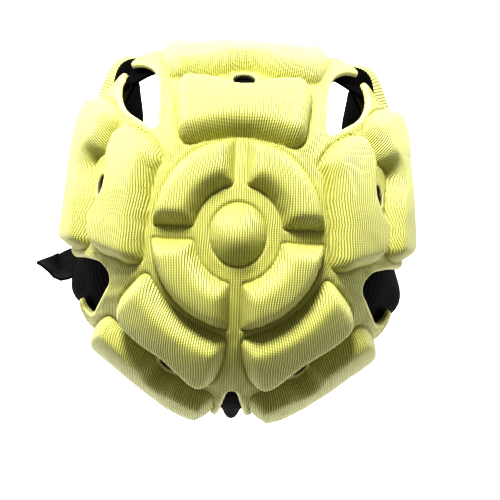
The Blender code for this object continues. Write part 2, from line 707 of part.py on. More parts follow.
def chin_route():
    """Middle line of the chin strap and the way its width runs, right to left."""
    half = CHIN_THICKNESS / 2
    on_face = half + CHIN_CLEAR
    up = CHIN_HEIGHT
    out = flap_foot(CHIN_AZIMUTH, 0.5 * up, on_face)
    top = flap_foot(CHIN_AZIMUTH, up, on_face)
    foot = np.array([out[0] - 2 * half, out[1], half])
    bend = np.array([out[0] + 3 * half, out[1], 0.13 * up])
    rise = np.array([out[0] + half, out[1], 0.32 * up])
    inner = foot * (0.84, 0.90, 1.0)
    quarter = np.array([0.45 * foot[0], foot[1] - 0.72 * CHIN_BOW, half])
    middle = np.array([0.0, foot[1] - CHIN_BOW, half])
    mirror = np.array([-1.0, 1.0, 1.0])
    level = np.array([0.0, 1.0, 0.0])
    sweep = np.degrees(CHIN_WIDTH / 2 / FLAP_RADIUS)
    tangent = flap_foot(CHIN_AZIMUTH + sweep, up, 0.0) - flap_foot(CHIN_AZIMUTH - sweep, up, 0.0)
    tangent /= np.linalg.norm(tangent)
    slant = np.array([0.42, 0.90, 0.0])
    side = [top, out, rise, bend, foot, inner, quarter]
    side_width = [tangent, tangent, tangent, level, level, level, slant]
    route = [point * mirror for point in side] + [middle] + side[::-1]
    width = [across * (-1.0, 1.0, 1.0) for across in side_width] + [level] + side_width[::-1]
    width = [across / np.linalg.norm(across) for across in width]
    for away, back, rise_share, lean_back, lean_up in TAIL_ROWS:
        route.append(top + CHIN_TAIL * np.array([away, back, rise_share]))
        width.append(lean_back * tangent + (0.0, 0.0, lean_up))
    return np.array(route), np.array(width)


def open_spline(points):
    """Smooth open curve through points."""
    padded = np.vstack([2 * points[:1] - points[1:2], points, 2 * points[-1:] - points[-2:-1]])
    rows = []
    for k in range(len(points) - 1):
        before, here, after, last = padded[k:k + 4]
        for t in np.linspace(0.0, 1.0, CURVE_SAMPLES, endpoint=False):
            curve = 2 * here + (after - before) * t
            curve = curve + (2 * before - 5 * here + 4 * after - last) * t**2
            rows.append(0.5 * (curve + (3 * here - before - 3 * after + last) * t**3))
    rows.append(points[-1])
    return np.array(rows)


def resample(line, extra, step):
    """A line and the values along it, at an even step."""
    run = np.concatenate([[0.0], np.cumsum(np.linalg.norm(np.diff(line, axis=0), axis=1))])
    at = np.linspace(0.0, run[-1], int(round(run[-1] / step)) + 1)
    pick = [np.interp(at, run, values[:, k]) for values in (line, extra) for k in range(3)]
    return np.stack(pick[:3], axis=1), np.stack(pick[3:], axis=1)


def chin_strap(webbing):
    route, width = chin_route()
    line, across = resample(open_spline(route), open_spline(width), CHIN_STEP)
    along = np.gradient(line, axis=0)
    along /= np.linalg.norm(along, axis=1, keepdims=True)
    across -= along * np.sum(across * along, axis=1, keepdims=True)
    across /= np.linalg.norm(across, axis=1, keepdims=True)
    face = np.cross(along, across)
    share = np.linspace(-0.5, 0.5, 3)
    flat = line[:, None, :] + across[:, None, :] * (share * CHIN_WIDTH)[None, :, None]
    raise_by = face[:, None, :] * CHIN_THICKNESS / 2
    upper, lower = flat + raise_by, flat - raise_by
    low = np.minimum(upper[..., 2], lower[..., 2])
    lift = np.maximum(-low, 0.0)
    upper[..., 2] += lift
    lower[..., 2] += lift
    points, faces = grid_solid(upper, lower)
    solid("chin_strap", points, faces, webbing)


def stand_on_origin():
    """Put the middle of the whole part's footprint over the origin."""
    meshes = [item.data for item in bpy.data.objects]
    points = np.array([vertex.co for mesh in meshes for vertex in mesh.vertices])
    middle = (points.min(axis=0) + points.max(axis=0)) / 2
    for mesh in meshes:
        mesh.transform(Matrix.Translation((-middle[0], -middle[1], 0.0)))


def main():
    clear_scene()
    yellow = fabric("yellow_knit", COLOURS["shell"], 0.8)
    black = fabric("black_lining", COLOURS["lining"], 0.9)
    webbing = fabric("black_elastic", COLOURS["strap"], 0.75)
    shell_and_lining(yellow, black)
    flap_pair(yellow, black)
    elastic_straps(webbing)
    chin_strap(webbing)
    stand_on_origin()


main()
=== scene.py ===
"""Looks of a soft-shell padded head guard that stands open on a pale table.

Knit, linings and straps are laid on the head form of the part's source, from the
same outlines and in a finer mesh. Metres, +Z up, the face toward -Y and the
wearer's left toward +X.
"""

import bpy
import numpy as np
from mathutils import Euler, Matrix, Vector
from mathutils.geometry import delaunay_2d_cdt
from mathutils.kdtree import KDTree


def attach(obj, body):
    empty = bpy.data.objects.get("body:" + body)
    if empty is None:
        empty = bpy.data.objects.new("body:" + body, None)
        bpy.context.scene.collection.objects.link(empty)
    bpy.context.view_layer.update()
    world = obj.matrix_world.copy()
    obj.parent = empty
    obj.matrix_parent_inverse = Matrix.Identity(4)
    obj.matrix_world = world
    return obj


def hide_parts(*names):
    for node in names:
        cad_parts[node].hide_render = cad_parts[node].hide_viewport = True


# The crown's middle in the row frame, whose origin is under the whole footprint.
CROWN_MIDDLE = (-0.010435, 0.000291, 0.0)

# Camera over the crown, looking straight down with the face to the image's top.
CAMERA_HEIGHT = 0.65
CAMERA_LENS = 68.9
CAMERA_SENSOR = 36.0
CAMERA_TURN_DEG = 182.3
CAMERA_SHIFT = (0.024, -0.031)
CAMERA_NEAR = 0.01

# The head form, from the floor up. Its widest level is the rim height.
RIM_HEIGHT = 0.072
CROWN_RISE = 0.098
HALF_WIDTH = 0.0903
HALF_LENGTH = 0.1006
PROFILE_POWER = 2.3
FLARE = 2.5
SINK_POWER = 1.6
SINK_LIMIT = 1.2
PROFILE_SAMPLES = 500
MEAN_RADIUS = 0.5 * (HALF_WIDTH + HALF_LENGTH)

# Layers, measured outward from the inner face of the shell.
WEB = 0.0030
PAD_RISE = 0.0098
GAP = 0.0003
LINING = 0.0010
STRAP = 0.0016
STRAP_GAP = 0.0010
FLAP_GAP = 0.0016
STRAP_SEAT = -(GAP + LINING + STRAP_GAP)
FLAP_SEAT = STRAP_SEAT - STRAP - FLAP_GAP

# How far the form bulges beyond an oval, by azimuth from the face.
# Columns: azimuth_deg, at_rim, at_floor.
FORM_ROWS = (
    (0.0, 1.000, 1.000),
    (12.0, 1.025, 1.020),
    (22.0, 1.095, 1.090),
    (30.0, 1.235, 1.205),
    (39.0, 1.290, 1.310),
    (48.5, 1.235, 1.125),
    (58.0, 1.165, 1.020),
    (67.0, 1.085, 0.968),
    (76.0, 1.035, 0.945),
    (88.0, 1.022, 0.940),
    (95.0, 1.060, 0.945),
    (103.0, 1.125, 0.960),
    (110.0, 1.140, 0.965),
    (122.0, 1.075, 0.950),
    (136.0, 0.955, 0.880),
    (147.0, 0.933, 0.860),
    (157.0, 0.955, 0.880),
    (165.0, 0.980, 0.900),
    (170.0, 0.995, 0.910),
    (175.0, 1.050, 0.950),
    (180.0, 1.090, 0.980),
)

# Outlines. A reach is a share of the arc from the crown down to the rim.
# Columns: azimuth_deg, reach.
SHELL_EDGE = (
    (0.0, 0.970), (13.0, 0.970), (23.5, 0.963), (28.0, 0.944), (31.2, 0.914),
    (34.4, 0.889), (36.9, 0.870), (37.5, 0.852), (36.0, 0.829), (33.9, 0.788),
    (32.3, 0.720), (32.4, 0.650), (34.2, 0.575), (37.8, 0.504), (40.6, 0.466),
    (43.2, 0.460), (44.9, 0.500), (46.2, 0.556), (47.0, 0.610), (47.0, 0.665),
    (45.6, 0.735), (43.4, 0.785), (41.0, 0.810), (39.9, 0.824), (41.0, 0.838),
    (44.6, 0.852), (47.2, 0.880), (49.0, 0.922), (51.4, 0.947),
    (56.5, 0.955), (70.0, 0.957), (84.0, 0.955), (92.0, 0.950),
    (96.0, 0.925), (98.0, 0.860), (99.3, 0.770), (99.8, 0.662), (100.8, 0.592),
    (102.2, 0.542), (105.0, 0.512), (108.0, 0.501), (111.0, 0.515), (113.2, 0.553),
    (115.2, 0.598), (116.8, 0.649), (118.0, 0.705), (117.5, 0.752), (115.2, 0.775),
    (112.8, 0.772), (112.3, 0.792), (114.6, 0.834), (118.0, 0.882), (120.3, 0.945),
    (122.4, 1.015), (128.0, 1.050), (140.0, 1.075), (155.0, 1.100),
    (166.0, 1.108), (170.5, 1.112), (173.4, 1.122), (174.6, 1.085), (175.0, 0.970),
    (175.7, 0.840), (176.3, 0.705), (177.0, 0.637), (177.8, 0.583), (178.8, 0.556),
    (180.0, 0.552),
)
# Vent holes. Columns: azimuth_deg, reach, width_share, depth_share.
VENT_ROWS = (
    (0.0, 0.555, 1.28, 1.22),
    (74.0, 0.578, 1.05, 0.78),
    (151.5, 0.544, 1.00, 0.66),
)
VENT_WIDTH = 0.0102
VENT_DEPTH = 0.0080

DOME_REACH = 0.096
RING_INNER = 0.150
RING_OUTER = 0.296
RING_GAP_MIDDLE = 0.0068
RING_GAP_ACROSS = 0.0066

FRONT_CROWN_PAD = (
    (0.0, 0.304), (14.0, 0.305), (24.8, 0.312), (31.5, 0.321), (35.4, 0.339),
    (36.2, 0.372), (33.4, 0.423), (30.8, 0.484), (29.0, 0.535), (26.4, 0.568),
    (22.0, 0.578), (15.0, 0.553), (9.0, 0.529), (4.5, 0.505), (0.0, 0.498),
)
BROW_PAD = (
    (0.0, 0.616), (4.5, 0.611), (8.5, 0.592), (13.5, 0.581), (19.0, 0.588),
    (25.0, 0.600), (28.4, 0.630), (29.0, 0.700), (28.9, 0.790), (28.6, 0.870),
    (25.8, 0.925), (13.0, 0.942), (0.0, 0.942),
)
SIDE_CROWN_PAD = (
    (50.0, 0.352), (57.0, 0.341), (67.0, 0.327), (78.0, 0.319), (89.0, 0.318),
    (99.5, 0.325), (105.8, 0.339), (106.8, 0.372), (104.6, 0.408), (101.6, 0.455),
    (98.8, 0.520), (95.0, 0.553), (89.5, 0.566), (83.5, 0.562), (79.8, 0.545),
    (77.0, 0.527), (73.5, 0.521), (69.5, 0.527), (66.0, 0.545), (62.0, 0.560),
    (57.0, 0.568), (52.0, 0.562), (49.0, 0.530), (47.6, 0.470), (47.0, 0.410),
)
SIDE_LOW_PAD = (
    (50.5, 0.608), (55.0, 0.600), (60.0, 0.602), (63.4, 0.620), (65.4, 0.652),
    (68.5, 0.666), (71.6, 0.652), (74.4, 0.632), (78.0, 0.616), (84.0, 0.602),
    (90.0, 0.595), (95.2, 0.600), (97.4, 0.650), (97.0, 0.750), (95.8, 0.840),
    (93.6, 0.905), (83.0, 0.930), (66.0, 0.932), (54.0, 0.925), (50.4, 0.895),
    (49.0, 0.830), (48.2, 0.755), (48.4, 0.690), (48.9, 0.640),
)
REAR_CROWN_PAD = (
    (113.6, 0.334), (120.2, 0.326), (131.0, 0.323), (142.0, 0.320), (154.0, 0.318),
    (165.0, 0.318), (173.0, 0.324), (175.6, 0.344), (175.4, 0.392), (174.0, 0.455),
    (171.8, 0.515), (168.2, 0.540), (162.6, 0.536), (157.0, 0.515), (152.5, 0.504),
    (148.0, 0.497), (143.5, 0.503), (138.0, 0.512), (131.0, 0.522), (125.0, 0.525),
    (120.4, 0.506), (117.0, 0.455), (114.3, 0.395), (112.8, 0.357),
)
REAR_LOW_PAD = (
    (122.4, 0.582), (128.0, 0.562), (136.0, 0.553), (143.0, 0.549), (146.6, 0.556),
    (149.2, 0.584), (152.4, 0.594), (155.4, 0.584), (158.8, 0.568), (163.0, 0.576),
    (168.2, 0.586), (172.6, 0.606), (173.9, 0.670), (173.6, 0.790), (172.8, 0.930),
    (170.6, 1.050), (164.0, 1.085), (150.0, 1.068), (136.0, 1.042), (127.4, 1.008),
    (123.8, 0.940), (122.8, 0.830), (121.6, 0.710), (121.0, 0.630),
)

# Ear flaps. A drop is a share of the height from the rim down to the floor.
# Columns: azimuth_deg, drop.
FLAP_RADIUS = 0.0900
FLAP_EDGE = (
    (34.0, -0.20), (46.0, -0.31), (60.0, -0.34), (80.0, -0.34), (97.0, -0.33),
    (110.0, -0.28), (117.0, -0.12), (120.0, 0.10), (121.0, 0.35), (121.4, 0.60),
    (121.4, 0.82), (120.8, 0.95), (118.8, 1.00), (88.0, 1.00), (70.0, 1.00),
    (57.0, 1.00), (49.0, 0.96), (42.0, 0.82), (36.0, 0.60), (32.4, 0.34),
    (31.6, 0.10), (32.2, -0.08),
)
EAR_HOLE = (
    (79.0, 0.06), (87.0, 0.09), (93.0, 0.20), (94.5, 0.35), (91.0, 0.49),
    (83.5, 0.56), (75.5, 0.53), (70.5, 0.42), (69.0, 0.28), (72.0, 0.13),
)
CHEEK_PAD = (
    (36.0, 0.12), (48.0, 0.06), (60.0, 0.05), (64.5, 0.12), (63.5, 0.24),
    (63.5, 0.42), (67.5, 0.57), (75.0, 0.655), (83.5, 0.69), (86.0, 0.76),
    (84.0, 0.90), (78.0, 0.945), (57.0, 0.945), (50.0, 0.90), (43.6, 0.76),
    (38.0, 0.56), (35.0, 0.34), (34.6, 0.20),
)
BACK_PAD = (
    (101.0, 0.06), (109.0, 0.03), (115.2, 0.12), (116.6, 0.35), (116.4, 0.60),
    (115.6, 0.80), (112.5, 0.905), (100.0, 0.920), (91.0, 0.900), (89.6, 0.80),
    (91.2, 0.68), (96.5, 0.58), (99.8, 0.42), (100.0, 0.22),
)
FLAP_THICKNESS = 0.0030
FLAP_PAD_RISE = 0.0055
# The flap bellies out over the cheek, from one drop to another, and comes back
# by the floor. Behind the cheek it hangs straight.
CHEEK_SWING = 0.0085
SWING_FROM = -0.10
SWING_TO = 0.30
CHEEK_END_DEG = (56.0, 84.0)

# Elastic straps. Their ends are sewn behind the shell, and the side and rear ones
# are tall enough to fill their gaps. In the gap the lower edge stands out and the
# upper one tips inward by a lean, both from a share of the strap's run on. Each
# edge's slant is added to its reach from start to end. Columns: name, from_deg,
# to_deg, upper, lower, upper_slant, lower_slant, stand_out, out_from, lean.
STRAP_ROWS = (
    ("strap_front", 25.5, 52.0, 0.735, 0.915, 0.130, 0.080, 0.0045, 0.16, 0.0020),
    ("strap_side", 92.0, 125.5, 0.455, 0.960, 0.0, 0.0, 0.0040, 0.20, 0.0),
    ("strap_rear", 167.0, 193.0, 0.505, 1.080, 0.0, 0.0, 0.0050, 0.30, 0.0),
)
STRAP_FLARE = (0.55, 1.0)

# Chin strap. It is sewn to the right flap and fastened on the left one, and its
# free middle passes under both flaps and lies on the floor, bowed to the front.
CHIN_WIDTH = 0.0220
CHIN_THICKNESS = 0.0018
CHIN_AZIMUTH = 101.5
CHIN_BOW = 0.046
CHIN_HEIGHT = 0.036
CHIN_TAIL = 0.035
CHIN_CLEAR = 0.0013
# The free end, past its fastening: shares of its length outward, back and up,
# and how far its width leans back and up there. Columns: outward, back, up,
# lean_back, lean_up.
TAIL_ROWS = (
    (0.26, 0.10, 0.20, 0.86, 0.50),
    (0.42, 0.20, 0.30, 0.36, 0.93),
    (0.54, 0.10, 0.32, 0.34, 0.94),
    (0.66, -0.05, 0.31, 0.66, 0.75),
)
PASS_ROOM = 0.0158
PASS_HEIGHT = CHIN_THICKNESS + 2 * GAP

# Fine mesh of the pieces that show, and how its points are laid.
KNIT_STEP = 0.0016
FLAP_FINE_STEP = 0.0020
LINING_STEP = 0.0034
HIDDEN_STEP = 0.0070
HEM_RINGS = (0.0005, 0.0011, 0.0018, 0.0028)
HOLE_RINGS = HEM_RINGS[:3]
ROW_SPACING = 0.866
ROW_ROOM = 0.55
INSET_ROOM = 0.9
CURVE_SAMPLES = 24
RING_SAMPLES = 25
DOME_STEP_DEG = 10.0
VENT_STEP_DEG = 12.0
SAMPLE_STEP = 0.0004
BATCH = 2000
NEARBY = 1e-4
NEARBY_DEG = 0.05
FLAP_LEVEL_AT = 0.5
RELAX_ROUNDS = 3
SHARP_DEG = 60.0

# Moulded pads: width of their rounded shoulders and the crown of their tops.
DOME_SHOULDER = 0.0140
RING_SHOULDER = 0.0070
ARM_SHOULDER = 0.0070
FLAP_SHOULDER = 0.0080
TOP_CROWN = 0.0006
TOP_REACH = 0.0240
FOOT_FLARE = 0.25
CREASE_DEPTH = 0.0009
CREASE_WIDTH = 0.0008
CREASE_RINGS = (0.0021, 0.0012, 0.0005, 0.0, -0.0005, -0.0012, -0.0021, -0.0032)
RING_ROOM = 0.0004
LIP_RISE = 0.0002
LIP_OFFSET = 0.0019
LIP_WIDTH = 0.0009
HEM_ROUND = 0.0019
HEM_BEAD = 0.0003
HEM_THIN = 0.38
HEM_BEAD_WIDTH = 0.0012
# Distances from a cut edge between which a relief or a shade changes over.
HEM_EASE = (0.0, 0.004)
HEM_LEVEL = (0.001, 0.006)
HEM_SHADE = (0.0008, 0.0022)
VENT_BINDING = (0.0003, 0.0009)
# The open web between pads, by shares of the pads' rise.
WEB_FADE = (0.25, 0.7)
FOLD_ON_PADS = 0.25
SLOW_RISE = 0.00028
QUICK_RISE = 0.00010

# Stitching, straps and their weave.
STITCH_PITCH = 0.0032
STITCH_LENGTH = 0.0023
STITCH_INSET = 0.0036
THREAD = 0.00045
STRAP_FINE_STEP = 0.0015
CORD_PITCH = 0.0016
CORD_RISE = 0.00012
CORD_COLUMNS = 64
PICK_PITCH = 0.0009
CHIN_COLUMNS = 10
EDGE_SHARE = 0.2
EDGE_DEG = 50.0
STRAP_SHARP_DEG = 40.0
WEBBING_CHEVRON = 0.0036
WEBBING_PITCH = 0.0013
LINING_BULGE = 0.0005
LINING_RIM = 0.0012
LINING_ROUND = 0.4
THREAD_RAISE = 0.3 * THREAD
PASS_EASE = 0.0066

# Rib knit: pitches of its ribs and loops, and its linear colours.
RIB_PITCH = 0.00135
RIB_WANDER = 0.0006
LOOP_PITCH = 0.0011
LOOP_SLANT = 0.0005
RIB_GRID = 0.0012
RIB_SPAN = 0.1860
RIB_EASE = 0.70
RIB_SMOOTH = 9
KNIT_RIB = (0.80, 0.80, 0.200)
# The groove colour is painted shade, for the shade in the grooves between ribs.
KNIT_GROOVE_SHADE = (0.15, 0.145, 0.020)
KNIT_LOOP = (0.87, 0.88, 0.38)
KNIT_FADE = (0.72, 0.71, 0.21)
# Painted shade: the colour laid over the creases at the pads' feet and over the open web between pads.
KNIT_VALLEY_SHADE = (0.40, 0.39, 0.07)
KNIT_HEM = (0.74, 0.72, 0.26)
KNIT_BINDING = (0.004, 0.004, 0.004)
# How strongly each layer of the knit shows or stands up, and the knit's finish.
RIB_ROUND = 0.85
LOOP_SHOWS = 0.16
FADE_SHOWS = (0.35, 0.65, 0.0, 0.16)
# How strongly the painted shade of the creases and the open web shows.
VALLEY_SHADE_SHOWS = 0.55
LOOP_HEIGHT = 0.22
FUZZ_HEIGHT = 0.20
KNIT_BUMP = 0.0005
KNIT_ROUGH = (0.3, 0.7, 0.46, 0.62)
KNIT_SHEEN = 0.10
KNIT_SHEEN_TINT = (1.0, 1.0, 0.72)
KNIT_SPECULAR = 0.85
SHEEN_ROUGHNESS = 0.45
# Grain of the noises, in patches per metre.
WANDER_GRAIN = 34.0
FADE_GRAIN = 26.0
FUZZ_GRAIN = 2600.0
NAP_GRAIN = 1500.0
TWIST_GRAIN = 3000.0

# Black cloths. Colours: deep, raised, worn. Worn patches: grain, detail, and the
# noise span over which they show, up to a share.
BLACK_LINING = ((0.003, 0.003, 0.003), (0.010, 0.010, 0.010), (0.014, 0.014, 0.015))
BLACK_ELASTIC = ((0.002, 0.002, 0.002), (0.007, 0.007, 0.007), (0.014, 0.013, 0.011))
BLACK_WEBBING = ((0.004, 0.004, 0.004), (0.018, 0.018, 0.019), (0.030, 0.030, 0.029))
LINING_WEAR = (40.0, 2.0, 0.40, 0.65, 0.40)
ELASTIC_WEAR = (90.0, 3.0, 0.50, 0.75, 0.35)
WEBBING_WEAR = (120.0, 3.0, 0.45, 0.70, 0.40)
PICK_SLANT = 0.0004
CHEVRON_SLANT = 1.2
YARN_PITCH = 0.0008

# Plain studio: a pale table and one large soft light in front and above.
FLOOR_SIZE = 6.0
FLOOR_COLOUR = (0.42, 0.42, 0.42)
WORLD_STRENGTH = 0.22
KEY_PLACE = (0.25, -1.35, 1.10)
KEY_AIM = (0.0, 0.0, 0.08)
KEY_SIZE = 0.50
KEY_POWER = 50.0
VIEW_EXPOSURE = 0.0
FLOOR_GLOW = 1.3

# Stretch folds of the knit. Columns: from azimuth_deg and reach, to azimuth_deg
# and reach, half_width, height.
FOLD_ROWS = (
    (49.5, 0.500, 60.0, 0.345, 0.0028, 0.0011),
    (43.5, 0.440, 46.5, 0.330, 0.0030, 0.0012),
    (40.0, 0.450, 38.5, 0.330, 0.0026, 0.0010),
    (33.2, 0.560, 29.0, 0.445, 0.0024, 0.0007),
    (47.5, 0.640, 56.0, 0.590, 0.0026, 0.0008),
    (101.5, 0.540, 98.0, 0.430, 0.0028, 0.0010),
    (105.5, 0.495, 106.5, 0.370, 0.0028, 0.0011),
    (110.0, 0.495, 112.0, 0.365, 0.0028, 0.0011),
    (114.5, 0.570, 117.0, 0.440, 0.0026, 0.0009),
    (118.5, 0.700, 120.0, 0.590, 0.0022, 0.0006),
    (176.0, 0.560, 171.0, 0.470, 0.0022, 0.0008),
    (180.0, 0.535, 180.0, 0.330, 0.0026, 0.0013),
    (176.4, 0.660, 174.6, 0.600, 0.0022, 0.0007),
)


def crown_world(points):
    return points + np.array(CROWN_MIDDLE)


def unit(vectors):
    return vectors / np.linalg.norm(vectors, axis=-1, keepdims=True)


def coordinates(mesh):
    place = np.empty(len(mesh.vertices) * 3)
    mesh.vertices.foreach_get("co", place)
    return place.reshape(-1, 3)


def lay_cut(mesh, cut):
    """Give a mesh the flat cut of its points as its UV map."""
    corners = np.empty(len(mesh.loops), dtype=np.int32)
    mesh.loops.foreach_get("vertex_index", corners)
    mesh.uv_layers.new(name="cut").data.foreach_set("uv", cut[corners].ravel())


def between(before, here, after, last, t):
    """Point of a smooth curve through four points, between the middle two."""
    curve = 2 * here + (after - before) * t
    curve = curve + (2 * before - 5 * here + 4 * after - last) * t**2
    return 0.5 * (curve + (3 * here - before - 3 * after + last) * t**3)


def smooth_table(x, xs, ys):
    """Cubic through the rows of a table that is mirrored at both its ends."""
    xs = np.concatenate([-xs[:0:-1], xs, 360.0 - xs[-2::-1]])
    ys = np.concatenate([ys[:0:-1], ys, ys[-2::-1]])
    slope = np.gradient(ys, xs)
    i = np.clip(np.searchsorted(xs, x) - 1, 0, len(xs) - 2)
    step = xs[i + 1] - xs[i]
    t = (x - xs[i]) / step
    value = ys[i] * (2 * t**3 - 3 * t**2 + 1) + ys[i + 1] * (3 * t**2 - 2 * t**3)
    return value + step * (slope[i] * (t**3 - 2 * t**2 + t) + slope[i + 1] * (t**3 - t**2))


def crown_profile():
    """Arc length, radius share and height share down the crown."""
    turn = np.linspace(0.0, np.pi / 2, PROFILE_SAMPLES)
    out = np.sin(turn) ** (2 / PROFILE_POWER)
    up = np.cos(turn) ** (2 / PROFILE_POWER)
    steps = np.hypot(np.diff(out) * MEAN_RADIUS, np.diff(up) * CROWN_RISE)
    return np.concatenate([[0.0], np.cumsum(steps)]), out, up


ARC, ARC_OUT, ARC_UP = crown_profile()
CROWN_ARC = float(ARC[-1])
FORM = np.array(FORM_ROWS)


def ramp(x, start, end):
    """Smooth step from 0 at the start to 1 at the end."""
    t = np.clip((x - start) / (end - start), 0.0, 1.0)
    return t * t * (3.0 - 2.0 * t)


def form_point(azimuth, arc):
    """Point of the head form at an azimuth in degrees and an arc from the crown."""
    azimuth = np.mod(azimuth, 360.0)
    at_rim = smooth_table(azimuth, FORM[:, 0], FORM[:, 1])
    at_floor = smooth_table(azimuth, FORM[:, 0], FORM[:, 2])
    drop = np.maximum(arc - CROWN_ARC, 0.0)
    sink = np.clip(drop / RIM_HEIGHT, 0.0, SINK_LIMIT) ** SINK_POWER
    reach = np.clip(arc / CROWN_ARC, 0.0, 1.0)
    bulge = 1.0 + (at_rim - 1.0) * reach**FLARE
    share = (bulge + (at_floor - at_rim) * sink) * np.interp(arc, ARC, ARC_OUT)
    height = RIM_HEIGHT + CROWN_RISE * np.interp(arc, ARC, ARC_UP) - drop
    turn = np.radians(azimuth)
    x = share * HALF_WIDTH * np.sin(turn)
    y = -share * HALF_LENGTH * np.cos(turn)
    return np.stack([x, y, height], axis=-1)


def crown_flat(azimuth, arc):
    """Position in the flat crown pattern."""
    turn = np.radians(azimuth)
    return np.stack([arc * np.sin(turn), -arc * np.cos(turn)], axis=-1)


def crown_raise(flat, lift):
    """Lay points of the crown pattern on the form, raised by their lift."""
    def at(p):
        azimuth = np.degrees(np.arctan2(p[:, 0], -p[:, 1]))
        return form_point(azimuth, np.hypot(p[:, 0], p[:, 1]))

    across = at(flat + (NEARBY, 0.0)) - at(flat - (NEARBY, 0.0))
    along = at(flat + (0.0, NEARBY)) - at(flat - (0.0, NEARBY))
    normal = unit(np.cross(across, along))
    return at(flat) + normal * np.broadcast_to(lift, len(flat))[:, None]


def flap_flat(azimuth, drop):
    """Position in the flat flap pattern: along the edge, and down."""
    return np.stack([np.radians(azimuth) * FLAP_RADIUS, drop * RIM_HEIGHT], axis=-1)


def flap_raise(flat, lift):
    """Lay points of the flap pattern on the form; the lift is level by the floor."""
    def at(p, turn):
        azimuth = np.degrees(p[:, 0] / FLAP_RADIUS) + turn
        return form_point(azimuth, p[:, 1] + CROWN_ARC)

    around = at(flat, NEARBY_DEG) - at(flat, -NEARBY_DEG)
    normal = unit(np.stack([around[:, 1], -around[:, 0], np.zeros(len(flat))], axis=1))
    down = unit(at(flat + (0.0, NEARBY), 0.0) - at(flat - (0.0, NEARBY), 0.0))
    steep = 1.0 - ramp(flat[:, 1] / RIM_HEIGHT, 0.0, FLAP_LEVEL_AT)
    tilt = np.sum(normal * down, axis=1) * steep
    normal = unit(normal - down * tilt[:, None])
    return at(flat, 0.0) + normal * np.broadcast_to(lift, len(flat))[:, None]


def spline(points):
    """Closed smooth curve through points."""
    four = [np.roll(points, by, axis=0) for by in (1, 0, -1, -2)]
    steps = np.linspace(0.0, 1.0, CURVE_SAMPLES, endpoint=False)
    return np.stack([between(*four, t) for t in steps], axis=1).reshape(-1, 2)


def even(loop, step):
    """Resample a closed loop at an even step."""
    closed = np.vstack([loop, loop[:1]])
    run = np.concatenate([[0.0], np.cumsum(np.hypot(*np.diff(closed, axis=0).T))])
    count = max(8, int(round(run[-1] / step)))
    at = np.arange(count) * run[-1] / count
    return np.stack([np.interp(at, run, closed[:, k]) for k in (0, 1)], axis=1)


def mirrored(rows):
    """Both halves of an outline that starts on the middle plane; others as given."""
    if rows[0][0] != 0.0:
        return list(rows)
    inner = [row for row in rows if 0.0 < row[0] < 180.0]
    return list(rows) + [(360.0 - azimuth, reach) for azimuth, reach in reversed(inner)]


def crown_outline(rows, step=KNIT_STEP):
    table = np.array(mirrored(rows))
    return even(spline(crown_flat(table[:, 0], table[:, 1] * CROWN_ARC)), step)


def flap_outline(rows, step=FLAP_FINE_STEP):
    table = np.array(rows)
    return even(spline(flap_flat(table[:, 0], table[:, 1])), step)


def other_side(loop):
    """An outline carried over to the wearer's right."""
    return (loop * (-1.0, 1.0))[::-1]


def ring_pad(across, along):
    """One quarter of the ring round the dome, between two straight gaps."""
    points = []
    for reach, order in ((RING_OUTER, 1), (RING_INNER, -1)):
        radius = reach * CROWN_ARC
        first = np.arcsin(0.5 * RING_GAP_MIDDLE / radius)
        last = np.pi / 2 - np.arcsin(0.5 * RING_GAP_ACROSS / radius)
        points += [(radius * np.sin(a), -radius * np.cos(a))
                   for a in np.linspace(first, last, RING_SAMPLES)[::order]]
    quarter = even(np.array(points), KNIT_STEP) * (across, along)
    return quarter if across * along > 0 else quarter[::-1]


def crown_pads():
    """Every pad of the crown pattern: its outline and its shoulder."""
    circle = np.radians(np.arange(0.0, 360.0, DOME_STEP_DEG))
    dome = DOME_REACH * CROWN_ARC * np.stack([np.sin(circle), -np.cos(circle)], axis=1)
    pads = [(even(dome, KNIT_STEP), DOME_SHOULDER)]
    pads += [(ring_pad(across, along), RING_SHOULDER) for across in (1, -1) for along in (1, -1)]
    pads += [(crown_outline(rows), ARM_SHOULDER) for rows in (FRONT_CROWN_PAD, BROW_PAD)]
    for rows in (SIDE_CROWN_PAD, SIDE_LOW_PAD, REAR_CROWN_PAD, REAR_LOW_PAD):
        loop = crown_outline(rows)
        pads += [(loop, ARM_SHOULDER), (other_side(loop), ARM_SHOULDER)]
    return pads


def crown_vents():
    vents = []
    for azimuth, reach, width, depth in VENT_ROWS:
        middle = crown_flat(azimuth, reach * CROWN_ARC)
        out = unit(middle)
        side = np.array([-out[1], out[0]])
        turn = np.radians(np.arange(0.0, 360.0, VENT_STEP_DEG))[:, None]
        loop = middle + side * np.sin(turn) * VENT_WIDTH * width / 2
        loop = loop + out * np.cos(turn) * VENT_DEPTH * depth / 2
        vents.append(loop)
        if azimuth > 0.0:
            vents.append(other_side(loop))
    return vents


def inside(points, loop):
    """Which points lie inside a closed loop."""
    ax, ay = loop[:, 0], loop[:, 1]
    bx, by = np.roll(ax, -1), np.roll(ay, -1)
    height = np.where(by == ay, 1.0, by - ay)
    found = []
    for part in np.array_split(points, max(1, len(points) // BATCH)):
        x, y = part[:, None, 0], part[:, None, 1]
        crosses = (ay > y) != (by > y)
        found.append((crosses & (x < ax + (y - ay) * (bx - ax) / height)).sum(axis=1) % 2 == 1)
    return np.concatenate(found)


def tree_of(points):
    tree = KDTree(len(points))
    for k, (x, y) in enumerate(points):
        tree.insert((x, y, 0.0), k)
    tree.balance()
    return tree


def away_from(points, tree):
    """Distance of each point from the nearest one in the tree."""
    return np.array([tree.find((x, y, 0.0))[2] for x, y in points])


def outline_tree(loops):
    return tree_of(np.vstack([even(loop, SAMPLE_STEP) for loop in loops]))


